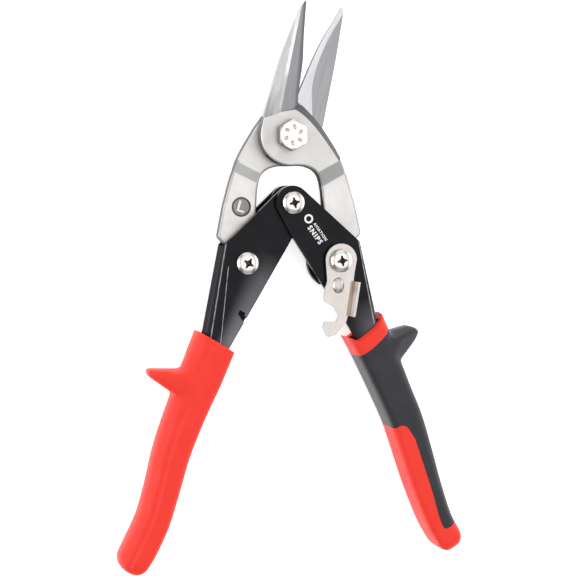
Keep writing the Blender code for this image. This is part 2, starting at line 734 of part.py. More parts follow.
def latch():
    low = STEP + CHANNEL / 2 + SHEET + GAP + LATCH_WASHER + GAP
    high = low + LATCH_SHEET
    head = arc((RIGHT[0] + 0.4, RIGHT[1] + 0.3), 7.1, 0, 180)
    left = [(14.2, -63.4), (12.9, -68.8, 1.2), (12.7, -72.4, 1.0), (16.7, -74.6, 2.0), (19.5, -79.0, 1.6)]
    bay = [(17.9, -81.6, 1.2), (12.7, -81.3, 0.6)]
    hook = [(11.7, -84.0, 0.8), (13.7, -88.2, 1.2), (17.3, -87.6, 2.0), (22.3, -82.4)]
    right = [(23.3, -79.4), (26.3, -63.3), (26.8, -60.0)]
    outline = rounded([*head, *left, *bay, *hook, *right])
    piece = finish("latch", plate(outline, low, high), "latch_axis", bright_nickel())

    tab = [(22.8, -79.0), (26.0, -79.4), (29.2, -65.0), (25.8, -63.2)]

    def rise(x, y):
        off = (Vector((x, y)) - Vector(tab[0])).cross((Vector(tab[3]) - Vector(tab[0])).normalized())
        return high - 0.9 + abs(off) * 0.95

    fold = plate(tab, rise, lambda x, y: rise(x, y) + 1.3)
    combine(piece, finish("latch_tab", fold, "latch_axis"), "UNION")
    tooth = [(13.2, -82.9), (13.4, -84.0), (14.4, -83.8), (14.2, -82.7)]
    combine(piece, finish("latch_tooth", plate(tooth, 3.2, high - 0.4), "latch_axis"), "UNION")
    dimple = bmesh.new()
    bmesh.ops.create_uvsphere(dimple, u_segments=16, v_segments=8, radius=1.0)
    middle = Vector((19.4, -65.4, high - 0.2))
    for vertex in dimple.verts:
        vertex.co = vertex.co * Vector((2.8, 3.4, 1.3)) + middle
    combine(piece, finish("latch_dimple", dimple, "latch_axis"), "UNION")
    drill(piece, "latch_hole", "latch_axis", RIGHT, 2.5 + RUN, low - 2, high + 2)

    washer = tube(RIGHT, 2.5 + RUN, 5.6, low - GAP - LATCH_WASHER, low - GAP)
    finish("latch_washer", washer, "top_axis", plain_steel())
    return high


def main():
    clear_scene()
    make_axes()
    front_blade()
    rear_blade()
    main_pivot()
    handles()
    top_pivot()
    handle_spring()
    latch_top = latch()
    handle_pivot("right", "top_axis", RIGHT, STEP, latch_top + GAP)
    handle_pivot("left", "top_axis", LEFT, -STEP, -STEP + CHANNEL / 2 + SHEET + GAP)
    left_grip()
    right_grip()


main()
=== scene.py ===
"""Looks for the aviation snips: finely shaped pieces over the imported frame, their materials, a studio.
"""

import json
from contextlib import contextmanager
from math import acos, atan2, ceil, cos, degrees, exp, pi, radians, sin

import bmesh
import bpy
from mathutils import Matrix, Vector


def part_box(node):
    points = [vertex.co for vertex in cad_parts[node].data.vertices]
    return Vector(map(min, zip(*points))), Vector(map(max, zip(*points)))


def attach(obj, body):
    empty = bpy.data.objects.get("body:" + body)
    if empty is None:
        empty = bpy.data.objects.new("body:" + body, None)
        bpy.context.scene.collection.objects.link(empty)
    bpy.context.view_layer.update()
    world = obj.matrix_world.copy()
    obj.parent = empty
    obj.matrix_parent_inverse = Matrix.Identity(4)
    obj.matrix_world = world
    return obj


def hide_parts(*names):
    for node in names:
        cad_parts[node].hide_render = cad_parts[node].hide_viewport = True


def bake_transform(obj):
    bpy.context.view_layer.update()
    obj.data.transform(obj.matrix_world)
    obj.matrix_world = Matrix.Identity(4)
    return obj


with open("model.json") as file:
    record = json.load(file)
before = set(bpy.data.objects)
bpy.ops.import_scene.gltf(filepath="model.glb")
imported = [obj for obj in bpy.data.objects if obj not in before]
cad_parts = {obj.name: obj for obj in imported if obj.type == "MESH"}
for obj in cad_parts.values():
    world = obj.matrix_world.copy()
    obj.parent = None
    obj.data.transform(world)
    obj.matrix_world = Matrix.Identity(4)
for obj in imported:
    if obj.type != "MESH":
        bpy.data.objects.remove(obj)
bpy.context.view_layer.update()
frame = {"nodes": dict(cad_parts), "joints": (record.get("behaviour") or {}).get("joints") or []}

MM = 0.001
JOINTS = {joint["name"]: Vector(joint["pos_m"]) for joint in frame["joints"]}
ORIGIN = JOINTS["blade_turn"]
INTO_FRAME = Matrix.Translation(ORIGIN) @ Matrix.Scale(MM, 4)


def plan(point):
    """A point of the frame, in millimetres from the main pivot, seen from above."""
    return tuple((point - ORIGIN).xy / MM)


def span(node):
    """Lowest and highest z of a CAD node, in millimetres from the blades' plane."""
    low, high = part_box(node)
    return (low.z - ORIGIN.z) / MM, (high.z - ORIGIN.z) / MM


MAIN = (0.0, 0.0)
TOP = plan(JOINTS["handle_squeeze"])
RIGHT = plan(JOINTS["front_tang_turn"])
LEFT = (-RIGHT[0], RIGHT[1])

SHEET = 2.0  # handle sheet
GAP = 0.3  # between pieces that touch
RUN = 0.2  # round a pin in its hole
PIN = 2.5  # radius of the handles' screws
BORE = 4.0 + RUN  # radius of a blade's holes, for the bolt and the bushings
DRIFT = 0.7  # more radius in the rear tang's hole, as the linkage's pin wanders a little
SPRING_PIN = (10.0, -9.4)  # the spring's right anchor, from the top pivot
BLADE = 5.4  # blade thickness at the boss
TANG = 4.4  # tang thickness inside the handles
STEP = (SHEET + GAP) / 2  # how far each handle's middle plane lies from the blades' plane
CHANNEL = span("right_handle")[1] - span("right_handle")[0] - 2 * SHEET  # between a handle's walls
FACE = GAP / 2


# Shapes


def heading(start, end):
    """The unit vector, in plan, from one point to another."""
    return (Vector(end[:2]) - Vector(start[:2])).normalized()


def left_of(run):
    return Vector((-run.y, run.x))


def arc(centre, radius, start, end, step=5):
    """Points from angle start to angle end, in degrees, ends included."""
    count = max(1, ceil(abs(end - start) / step))
    turns = [radians(start + (end - start) * i / count) for i in range(count + 1)]
    return [(centre[0] + radius * cos(t), centre[1] + radius * sin(t)) for t in turns]


def rounded(points, step=9):
    """An outline whose corner (x, y, r) is rounded to radius r; (x, y) stays as it is."""
    outline = []
    for i, point in enumerate(points):
        if len(point) == 2:
            outline.append(point)
            continue
        corner = Vector(point[:2])
        before, after = heading(corner, points[i - 1]), heading(corner, points[(i + 1) % len(points)])
        half = acos(max(-1.0, min(1.0, before.dot(after)))) / 2
        middle = corner + (before + after).normalized() * point[2] / sin(half)
        touch_in = corner + before * point[2] * cos(half) / sin(half)
        touch_out = corner + after * point[2] * cos(half) / sin(half)
        first = atan2(touch_in.y - middle.y, touch_in.x - middle.x)
        turn = atan2(touch_out.y - middle.y, touch_out.x - middle.x) - first
        turn = (turn + pi) % (2 * pi) - pi
        outline += arc(middle, point[2], degrees(first), degrees(first + turn), step)
    return outline


def along(start, end, part):
    return tuple(a + (b - a) * part for a, b in zip(start, end))


def smooth_path(points, parts=5):
    """Catmull-Rom curve through tuples of any length, parts steps between neighbours."""
    padded = [along(points[1], points[0], 2), *points, along(points[-2], points[-1], 2)]
    found = []
    for a, b, c, d in zip(padded, padded[1:], padded[2:], padded[3:]):
        for i in range(parts):
            t = i / parts
            weights = (
                (-t + 2 * t**2 - t**3) / 2, (2 - 5 * t**2 + 3 * t**3) / 2,
                (t + 4 * t**2 - 3 * t**3) / 2, (-(t**2) + t**3) / 2,
            )
            found.append(tuple(sum(w * p[k] for w, p in zip(weights, (a, b, c, d))) for k in range(len(b))))
    return found + [tuple(points[-1])]


def flip_x(points):
    """The mirror image across the centre line, still counter-clockwise."""
    return [(-point[0], *point[1:]) for point in reversed(points)]


def closed(bm):
    bmesh.ops.recalc_face_normals(bm, faces=bm.faces)
    return bm


def stacked(rings):
    """A closed solid through rings of points that match one to one."""
    bm = bmesh.new()
    made = [[bm.verts.new(point) for point in ring] for ring in rings]
    for first, second in zip(made, made[1:]):
        for i in range(len(first)):
            j = (i + 1) % len(first)
            bm.faces.new((first[i], first[j], second[j], second[i]))
    bm.faces.new(made[-1])
    bm.faces.new(list(reversed(made[0])))
    return closed(bm)


def plate(outline, low, high):
    """A closed prism; low and high are heights or functions of (x, y)."""
    return stacked([[(x, y, z(x, y) if callable(z) else z) for x, y in outline] for z in (low, high)])


def hull(points):
    """The convex solid round some points."""
    bm = bmesh.new()
    for point in points:
        bm.verts.new(point)
    made = bmesh.ops.convex_hull(bm, input=bm.verts)
    bmesh.ops.delete(bm, geom=made["geom_interior"], context="VERTS")
    return closed(bm)


def above(inner, outer, top):
    """The space over the strip between two lines of points, up to the height top."""
    bm = bmesh.new()
    lines = [inner, outer, [(x, y, top) for x, y, _ in outer], [(x, y, top) for x, y, _ in inner]]
    lines = [[bm.verts.new(point) for point in line] for line in lines]
    for first, second in zip(lines, lines[1:] + lines[:1]):
        for i in range(len(inner) - 1):
            bm.faces.new((first[i], second[i], second[i + 1], first[i + 1]))
    for end in (0, -1):
        bm.faces.new([line[end] for line in lines])
    return closed(bm)


def disc(centre, radius, low, high, count=72):
    return plate(arc(centre, radius, 0, 360 - 360 / count, 360 / count), low, high)


def turned(centre, profile, count=72):
    """A solid of revolution about z; profile is (radius, z) pairs, and radius 0 makes a point."""
    bm = bmesh.new()
    rings = []
    for radius, z in profile:
        around = arc(centre, radius, 0, 360 - 360 / count, 360 / count) if radius else [centre]
        rings.append([bm.verts.new((x, y, z)) for x, y in around])
    for first, second in zip(rings, rings[1:]):
        for i in range(count):
            j = (i + 1) % count
            corners = [first[i % len(first)], first[j % len(first)]]
            corners += [second[j % len(second)], second[i % len(second)]]
            bm.faces.new(list(dict.fromkeys(corners)))
    return closed(bm)


def ball(size, place, turn=0.0, around=40, up=20):
    """An ellipsoid with these half sizes, turned about z."""
    bm = bmesh.new()
    bmesh.ops.create_uvsphere(bm, u_segments=around, v_segments=up, radius=1.0)
    matrix = Matrix.Translation(place) @ Matrix.Rotation(turn, 4, "Z") @ Matrix.Diagonal((*size, 1.0))
    bmesh.ops.transform(bm, matrix=matrix, verts=bm.verts)
    return bm


def level_edges(bm, wanted):
    """The prism's top and bottom edges whose middle passes wanted(x, y)."""
    found = []
    for edge in bm.edges:
        a, b = (v.co for v in edge.verts)
        if abs(a.z - b.z) < 0.01 and len(edge.link_faces) == 2 and wanted(*((a + b) / 2).xy):
            found.append(edge)
    return found


def soften(bm, edges, width, segments=3):
    bmesh.ops.bevel(bm, geom=edges, offset=width, segments=segments, profile=0.5, affect="EDGES")


def divide(bm, place, normal):
    geometry = bm.verts[:] + bm.edges[:] + bm.faces[:]
    bmesh.ops.bisect_plane(bm, geom=geometry, plane_co=place, plane_no=normal)


# Objects


def placed(name, data):
    """A new object in the scene."""
    obj = bpy.data.objects.new(name, data)
    bpy.context.scene.collection.objects.link(obj)
    return obj


def solid(bm, name="tool"):
    mesh = bpy.data.meshes.new(name)
    bm.to_mesh(mesh)
    bm.free()
    return placed(name, mesh)


def settled_mesh(obj):
    """The mesh that obj shows, with its modifiers or curve settings worked in."""
    return bpy.data.meshes.new_from_object(obj.evaluated_get(bpy.context.evaluated_depsgraph_get()))


def settle(obj):
    mesh = settled_mesh(obj)
    obj.modifiers.clear()
    obj.data = mesh


def from_curve(name, curve):
    holder = placed(name, curve)
    mesh = settled_mesh(holder)
    bpy.data.objects.remove(holder)
    return placed(name, mesh)


def combine(obj, bm, operation="DIFFERENCE"):
    """Cuts, joins or keeps what obj shares with the solid bm."""
    other = solid(bm)
    modifier = obj.modifiers.new("shape", "BOOLEAN")
    modifier.operation = operation
    modifier.object = other
    modifier.solver = "EXACT"
    settle(obj)
    bpy.data.objects.remove(other)


def drill(obj, centre, radius):
    combine(obj, disc(centre, radius, -30, 30))


def meld(obj, voxel, passes):
    """Joins overlapping solids into one skin with soft fillets where they meet."""
    remesh = obj.modifiers.new("skin", "REMESH")
    remesh.mode = "VOXEL"
    remesh.voxel_size = voxel
    smooth = obj.modifiers.new("soft", "SMOOTH")
    smooth.factor = 0.5
    smooth.iterations = passes
    settle(obj)


@contextmanager
def opened(obj):
    """The object's mesh, to be edited and put back."""
    bm = bmesh.new()
    bm.from_mesh(obj.data)
    yield bm
    bm.to_mesh(obj.data)
    bm.free()


def soothe(obj, centre, reach, passes):
    """Softens the skin round a point, most at the point itself, to fillet a root and round a tip."""
    with opened(obj) as bm:
        near = sorted(((v.co - Vector(centre)).length, v.index, v) for v in bm.verts)
        for i in range(passes):
            within = reach * (1.0 - 0.4 * i / passes)
            verts = [v for off, _, v in near if off < within]
            axes = {"use_axis_x": True, "use_axis_y": True, "use_axis_z": True}
            bmesh.ops.smooth_vert(bm, verts=verts, factor=0.5, **axes)


def score(obj, *planes):
    """Divides faces along planes given as (point, normal), so that each side can take its own look."""
    with opened(obj) as bm:
        for place, normal in planes:
            divide(bm, place, normal)


def clean(obj):
    """Removes the cuts' spare vertices and the edges inside flat faces."""
    with opened(obj) as bm:
        bmesh.ops.remove_doubles(bm, verts=bm.verts, dist=0.002)
        bmesh.ops.dissolve_degenerate(bm, edges=bm.edges, dist=0.002)
        bmesh.ops.dissolve_limit(bm, angle_limit=radians(0.4), verts=bm.verts, edges=bm.edges)


def round_edges(obj, width, sharp):
    """A narrow bevel on every edge sharper than sharp degrees; width in millimetres."""
    bevel = obj.modifiers.new("edges", "BEVEL")
    bevel.width = width * MM
    bevel.segments = 2
    bevel.limit_method = "ANGLE"
    bevel.angle_limit = radians(sharp)
    return bevel


def finish(obj, name, body, looks, nodes, edge=0.15, sharp=28, pick=None):
    """Names a piece, moves it into the frame, and gives it its looks and its rounded edges.

    pick(face) says which of the looks a face takes; without it they all take the first.
    """
    obj.name = name
    obj.data.name = name
    for look in looks:
        obj.data.materials.append(look)
    for face in obj.data.polygons:
        face.use_smooth = True
        face.material_index = looks.index(pick(face)) if pick else 0
    obj.data.transform(INTO_FRAME)
    obj.data.set_sharp_from_angle(angle=radians(sharp))
    if edge:
        round_edges(obj, edge, sharp).harden_normals = True
    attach(obj, body)
    if nodes:
        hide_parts(*nodes)


# Materials


class Nodes:
    """A node tree written one call to a node."""

    def __init__(self, tree):
        self.tree = tree

    def node(self, kind, settings=None, values=(), sockets=None):
        made = self.tree.nodes.new(kind)
        for key, value in (settings or {}).items():
            setattr(made, key, value)
        for socket, value in zip(sockets or range(len(values)), values):
            self.set(made.inputs[socket], value)
        return made

    def set(self, socket, value):
        if isinstance(value, bpy.types.NodeSocket):
            self.tree.links.new(value, socket)
        else:
            socket.default_value = value

    def split(self, vector):
        return self.node("ShaderNodeSeparateXYZ", None, (vector,)).outputs

    def ramp(self, value, low, high, out_low=0.0, out_high=1.0, smooth=False):
        settings = {"clamp": True}
        if smooth:
            settings["interpolation_type"] = "SMOOTHSTEP"
        made = self.node("ShaderNodeMapRange", settings, (value, low, high, out_low, out_high))
        return made.outputs[0]

    def mix(self, part, first, second):
        ends = [(*value, 1.0) if isinstance(value, tuple) else value for value in (first, second)]
        made = self.node("ShaderNodeMix", {"data_type": "RGBA"}, (part, *ends), ("Factor", 6, 7))
        return made.outputs[2]

    def maths(self, operation, first, second=0.0):
        return self.node("ShaderNodeMath", {"operation": operation}, (first, second)).outputs[0]

    def times(self, first, second):
        return self.maths("MULTIPLY", first, second)

    def less(self, first, second):
        return self.maths("SUBTRACT", first, second)

    def dot(self, first, second, *more):
        """The products of two pairs, and anything more, added up."""
        return self.total(self.times(*first), self.times(*second), *more)

    def total(self, *values):
        result = values[0]
        for value in values[1:]:
            result = self.maths("ADD", result, value)
        return result


class Look(Nodes):
    """A material's nodes over one Principled shader; textures are laid out in millimetres."""

    def __init__(self, name):
        self.material = bpy.data.materials.new(name)
        self.material.use_nodes = True
        super().__init__(self.material.node_tree)
        self.shader = self.tree.nodes["Principled BSDF"]
        here = self.node("ShaderNodeTexCoord").outputs["Object"]
        scaled = self.node("ShaderNodeVectorMath", {"operation": "SCALE"}, (here, 1 / MM), (0, 3))
        self.mm = scaled.outputs[0]

    def stretch(self, scale, turn=0.0):
        """The millimetre coordinates, turned about z and then scaled."""
        values = (self.mm, (0, 0, 0), (0, 0, radians(turn)), tuple(1 / s for s in scale))
        return self.node("ShaderNodeMapping", {"vector_type": "TEXTURE"}, values).outputs[0]

    def noise(self, scale, detail=3.0, rough=0.5, where=None, distortion=0.0):
        values = (where or self.mm, scale, detail, rough, distortion)
        names = ("Vector", "Scale", "Detail", "Roughness", "Distortion")
        return self.node("ShaderNodeTexNoise", None, values, names).outputs["Fac"]

    def bump(self, height, depth, strength):
        values, names = (strength, depth * MM, height), ("Strength", "Distance", "Height")
        return self.node("ShaderNodeBump", None, values, names).outputs["Normal"]

    def done(self, tone, rough, normal=None, **others):
        values = {"Base_Color": tone, "Roughness": rough, **others}
        if normal:
            values["Normal"] = normal
        for key, value in values.items():
            self.set(self.shader.inputs[key.replace("_", " ")], value)
        return self.material


def blasted_steel(name, light, dark):
    """Shot-blasted forging: a fine matt grain with small dark pits and cloudy tone, with painted shade
    darkening it round the main pivot.
    """
    t = Look(name)
    grain = t.noise(3.2, 4, 0.6)
    cloud = t.noise(0.13, 3)
    x, y, _ = t.split(t.mm)
    off_x, off_y = t.less(x, ORIGIN.x / MM), t.less(y, ORIGIN.y / MM)
    off_squared = t.dot((off_x, off_x), (off_y, off_y))
    # Painted shade: darker within about 11 mm of the main pivot, fading out by 30 mm, round the bolt head
    # and beside the front boss.
    pivot_shade = t.ramp(off_squared, 130.0, 900.0, 0.5, 0.0)
    pits = t.ramp(t.noise(1.5, 2, 0.7), 0.7, 0.76)
    tone = t.mix(t.ramp(cloud, 0.35, 0.65), light, dark)
    tone = t.mix(pivot_shade, tone, tuple(0.72 * c for c in dark))
    tone = t.mix(t.ramp(grain, 0.3, 0.75, 0.0, 0.6), tone, tuple(0.76 * c for c in dark))
    tone = t.mix(t.times(pits, 0.6), tone, (0.16, 0.14, 0.13))
    return t.done(tone, t.ramp(cloud, 0.3, 0.7, 0.42, 0.52), t.bump(grain, 0.05, 0.5), Metallic=0.9)


def ground_steel(name, low, high, turn, roughness, reground=None, edge_shade=None):
    """Ground steel: fine scratches that run with the blade, and soft bands of tone across them.

    reground gives a tone for a ragged bright strip along the front jaw's ridge; edge_shade gives a tone
    that darkens the jaw's right margin.
    """
    t = Look(name)
    lines = t.noise(1.0, 4, 0.65, t.stretch((9.0, 0.16, 3.0), turn))
    bands = t.noise(1.0, 2, 0.5, t.stretch((0.5, 0.05, 0.5), turn))
    x, y, _ = t.split(t.mm)
    tone = t.mix(t.ramp(bands, 0.3, 0.7), low, high)
    if reground:
        from_ridge = t.dot((x, -0.972), (y, 0.236), -20.95)
        ragged = t.noise(1.0, 5, 0.7, t.stretch((1.1, 0.3, 1.0), turn))
        beside = t.ramp(t.total(from_ridge, t.times(ragged, 2.6)), 2.3, 3.0, 1.0, 0.0)
        above_foot = t.ramp(t.total(y, t.times(ragged, 16.0)), 98.0, 101.0)
        tone = t.mix(t.ramp(y, 74.0, 90.0, 0.0, 0.9, smooth=True), tone, high)
        tone = t.mix(t.times(beside, above_foot), tone, reground)
        tone = t.mix(t.ramp(y, 112.0, 124.0, 0.0, 0.5), tone, low)
    if edge_shade:
        inside = t.total(x, t.times(y, -0.115), 3.94)
        tone = t.mix(t.ramp(inside, -2.2, -0.4, 0.0, 0.75, smooth=True), tone, edge_shade)
    tone = t.mix(t.ramp(lines, 0.35, 0.7, 0.0, 0.35), tone, tuple(0.7 * c for c in low))
    rough = t.ramp(lines, 0.3, 0.7, roughness, roughness + 0.12)
    return t.done(tone, rough, t.bump(lines, 0.02, 0.35), Metallic=1.0)


def nickel(name="nickel", tone=(0.58, 0.568, 0.555), stain=(0.34, 0.30, 0.27), roughness=0.17):
    """Nickel plate with faint wipe marks and a few stains."""
    t = Look(name)
    wipe = t.noise(0.5, 4, 0.6, distortion=1.2)
    fine = t.noise(4.0, 3, 0.6)
    stains = t.ramp(t.noise(0.35, 4, 0.7), 0.58, 0.78, 0.0, 0.55)
    rough = t.ramp(wipe, 0.3, 0.7, roughness, roughness + 0.14)
    return t.done(t.mix(stains, tone, stain), rough, t.bump(fine, 0.015, 0.3), Metallic=1.0)


def black_paint(name="black_paint", sheen_along=None):
    """Glossy black stoving paint: orange peel, faint haze, dust nibs, and a painted pale sheen where named.

    Where two plan points in millimetres are given, the painted sheen, a pale reflection laid into the
    colour, lies beside the line from one to the other.
    """
    t = Look(name)
    peel = t.noise(0.9, 2, 0.5)
    haze = t.noise(0.12, 3, 0.55)
    dust = t.ramp(t.noise(2.2, 2, 0.6), 0.77, 0.8)
    tone = t.mix(t.ramp(haze, 0.35, 0.7), (0.004, 0.004, 0.0055), (0.008, 0.008, 0.0105))
    # Painted sheen: a pale reflection laid into the colour beside a line on the handle's front wall, broken
    # into faint streaks.
    if sheen_along:
        start, run = Vector(sheen_along[0]), heading(*sheen_along)
        x, y, _ = t.split(t.mm)
        off_x, off_y = t.less(x, start.x), t.less(y, start.y)
        ahead = t.dot((off_x, run.x), (off_y, run.y))
        aside = t.dot((off_x, run.y), (off_y, -run.x))
        width = t.ramp(ahead, 8.0, 42.0, 13.0, 8.0)
        reach = t.ramp(t.maths("DIVIDE", aside, width), 0.1, 1.0, 1.0, 0.0, smooth=True)
        grows = t.times(t.ramp(ahead, 0.0, 12.0), t.ramp(ahead, 8.0, 44.0, 0.5, 1.0))
        sheen_streaks = t.ramp(t.noise(1.0, 3, 0.6, t.stretch((0.12, 1.6, 1.0), -32)), 0.3, 0.7, 0.85, 1.0)
        painted_sheen = t.times(t.times(reach, grows), sheen_streaks)
        tone = t.mix(painted_sheen, tone, (0.165, 0.162, 0.18))
    tone = t.mix(t.times(dust, 0.3), tone, (0.12, 0.12, 0.13))
    rough = t.ramp(haze, 0.3, 0.7, 0.14, 0.24)
    return t.done(tone, rough, t.bump(peel, 0.02, 0.2), Specular_IOR_Level=0.1)


def painted_bend_highlight():
    """Painted highlight along a press line: a pale grey metallic line in broken streaks, standing in for
    the light caught on the bend.
    """
    t = Look("painted_bend_highlight")
    streak = t.noise(1.0, 4, 0.65, t.stretch((2.2, 0.25, 1.0), -8))
    tone = t.mix(t.ramp(streak, 0.32, 0.62), (0.06, 0.06, 0.065), (0.30, 0.30, 0.31))
    return t.done(tone, 0.3, t.bump(streak, 0.01, 0.3), Metallic=0.5)


def matt_paint():
    """Black paint over the sheared sides, thinner and matt."""
    t = Look("matt_paint")
    grain = t.noise(2.5, 4, 0.6)
    tone = t.mix(t.ramp(grain, 0.35, 0.7), (0.010, 0.010, 0.014), (0.020, 0.020, 0.026))
    rough = t.ramp(grain, 0.3, 0.7, 0.5, 0.65)
    return t.done(tone, rough, t.bump(grain, 0.02, 0.3), Specular_IOR_Level=0.02)


def moulded(name, tone, shade, roughness, grain, depth, gloss=0.5, sheen=0.0):
    """Moulded plastic or rubber: a spark-eroded grain, slight flow marks and handling wear."""
    t = Look(name)
    fine = t.noise(grain, 3, 0.6)
    flow = t.noise(0.09, 3, 0.5, distortion=0.8)
    scuff = t.ramp(t.noise(0.7, 5, 0.7, t.stretch((1.0, 0.4, 1.0), -22)), 0.62, 0.75, 0.0, 0.25)
    tinted = t.mix(t.ramp(flow, 0.3, 0.7), tone, shade)
    lighter = tuple(min(1.0, c * 1.25 + 0.01) for c in tone)
    rough = t.ramp(flow, 0.3, 0.7, roughness, roughness + 0.1)
    soft = {"Specular_IOR_Level": gloss, "Sheen_Weight": sheen, "Sheen_Roughness": 0.35}
    return t.done(t.mix(scuff, tinted, lighter), rough, t.bump(fine, depth, 0.4), **soft)


BLASTED = blasted_steel("blasted_steel", (0.66, 0.643, 0.628), (0.59, 0.575, 0.56))
JAW_LEFT = ground_steel(
    "jaw_left_grind", (0.19, 0.19, 0.197), (0.48, 0.475, 0.48), -15, 0.3,
    reground=(0.72, 0.71, 0.71),
)
JAW_RIGHT = ground_steel(
    "jaw_right_grind", (0.235, 0.235, 0.247), (0.28, 0.28, 0.292), -3, 0.34,
    edge_shade=(0.075, 0.073, 0.075),
)
JAW_BAND = ground_steel("jaw_band_polish", (0.44, 0.44, 0.455), (0.49, 0.49, 0.505), -28, 0.2)
JAW_RELIEF = ground_steel("jaw_relief_grind", (0.28, 0.28, 0.29), (0.32, 0.32, 0.332), -12, 0.38)
EDGE_POLISH = ground_steel("edge_polish", (0.50, 0.497, 0.493), (0.57, 0.566, 0.56), -15, 0.32)
MARK = ground_steel("mark_floor", (0.20, 0.196, 0.19), (0.27, 0.265, 0.26), 20, 0.45)
NICKEL = nickel()
NICKEL_SATIN = nickel("nickel_satin", (0.48, 0.448, 0.425), (0.38, 0.32, 0.285), 0.3)
# Painted shade: a dull brown nickel laid in the latch tab's fold.
FOLD_SHADE = nickel("painted_fold_shade", (0.30, 0.235, 0.19), (0.17, 0.125, 0.10), 0.35)
# Painted shade with a few stains: a near-black brown nickel for the screws' cross recesses and the groove
# round the left-cut mark.
RECESS_SHADE_AND_STAIN = nickel("recess_shade_and_stain", (0.09, 0.07, 0.06), (0.3, 0.24, 0.2), 0.45)
STEEL = nickel("plain_steel", (0.5, 0.5, 0.51), (0.35, 0.33, 0.32), 0.3)
PAINT = black_paint()
# Each handle's paint carries a painted sheen, a pale reflection, along its front wall.
PAINT_LEFT_SHEEN = black_paint("black_paint_left_sheen", sheen_along=((-4.1, 12.2), (-28.6, -27.2)))
PAINT_RIGHT_SHEEN = black_paint("black_paint_right_sheen", sheen_along=((35.0, -6.0), (44.0, -38.0)))
BEND_HIGHLIGHT = painted_bend_highlight()
MATT_PAINT = matt_paint()
# Painted shade: a dark copy of the steel for the forgings' side walls, standing in for the dark
# surroundings they reflect.
SHADED_SIDE = ground_steel("shaded_side_steel", (0.14, 0.138, 0.14), (0.20, 0.197, 0.197), 0, 0.5)
# Painted shade: a near-black nickel for the tangs' inner walls, where shade falls in the arch between the
# blades.
INNER_SHADE = nickel("painted_inner_shade", (0.012, 0.012, 0.013), (0.03, 0.028, 0.027), 0.5)
BLASTED_SHADE = blasted_steel("blasted_bend", (0.46, 0.453, 0.455), (0.38, 0.375, 0.38))
# A darker, browner nickel for the hex head's sides.
BOLT_SIDE_NICKEL = nickel("bolt_side_nickel", (0.30, 0.255, 0.235), (0.46, 0.41, 0.385), 0.4)
SMUDGED = nickel("smudged_nickel", (0.46, 0.42, 0.40), (0.36, 0.32, 0.30), 0.35)
RED = moulded("red_plastic", (0.78, 0.036, 0.022), (0.75, 0.032, 0.019), 0.42, 2.6, 0.03, 0.2, 0.08)
DARK = moulded("dark_rubber", (0.0095, 0.0092, 0.015), (0.007, 0.0068, 0.0115), 0.45, 3.2, 0.05, 0.4, 0.3)
NYLON = moulded("white_nylon", (0.55, 0.55, 0.53), (0.48, 0.48, 0.46), 0.5, 3.0, 0.02)


def print_ink():
    """White pad print, a little worn."""
    t = Look("print_ink")
    worn = t.ramp(t.noise(1.6, 4, 0.7), 0.58, 0.72, 0.0, 0.5)
    return t.done(t.mix(worn, (0.8, 0.8, 0.8), (0.35, 0.35, 0.36)), 0.5)


INK = print_ink()


# Blades

JOG_START = 19.5  # distance from the main pivot, along the tang, where the joggle begins
FRONT_JOG = 7.5
REAR_JOG = 5.6
JOG_DIRECTION = (sin(radians(27)), -cos(radians(27)))
TANG_OUTER = [(29.4, -29.5), (25.6, -17.0), (20.8, -6.8), (15.0, 2.4)]
TANG_INNER = [(-1.0, -13.4), (6.0, -13.6), (11.2, -16.2), (13.9, -22.0), (14.8, -32.0), (14.6, -37.5)]
BOSS_RADIUS = 13.4
EDGE_ROUND = 0.95  # on the forgings' edges


def tang_inner(lobe_radius):
    """Right-hand tang from the boss down its inner side to the end lobe."""
    lobe = list(reversed(arc(RIGHT, lobe_radius, -125, -215)))
    return smooth_path(TANG_INNER, 5) + lobe


def tang_outer():
    """Right-hand tang from the heel up its outer side to the boss."""
    heel = list(reversed(arc(RIGHT, 7.8, 42, -75)))
    shoulder = [(27.0, -48.4), (29.8, -46.2, 1.6), (32.4, -43.4, 2.4)]
    return heel + shoulder + smooth_path(TANG_OUTER, 6)


def joggle(bm, side, length, rise_face, rise_far):
    """Bends the tang off the blade's plane: rise_face moves the mating side, rise_far the other."""
    direction = Vector((side * JOG_DIRECTION[0], JOG_DIRECTION[1], 0))
    bends = [(0.0, 0.0), (0.06, 0.015), (0.12, 0.06), (0.18, 0.12), (0.88, 0.91), (0.94, 0.97), (1.0, 1.0)]
    for start, _ in bends:
        divide(bm, direction * (JOG_START + length * start), direction)
    for vertex in bm.verts:
        part = (vertex.co.dot(direction) - JOG_START) / length
        if part <= 0 or part >= 1:
            part = max(0.0, min(1.0, part))
        else:
            (a, low), (b, high) = next(pair for pair in zip(bends, bends[1:]) if part <= pair[1][0] + 1e-6)
            part = low + (high - low) * (part - a) / (b - a)
        share = (abs(vertex.co.z) - FACE) / BLADE
        vertex.co.z += part * (rise_face * (1 - share) + rise_far * share)


def finish_blade(blade, node, looks, pick):
    finish(blade, node + "_forged", node, looks, [node], 0.16, 12, pick)


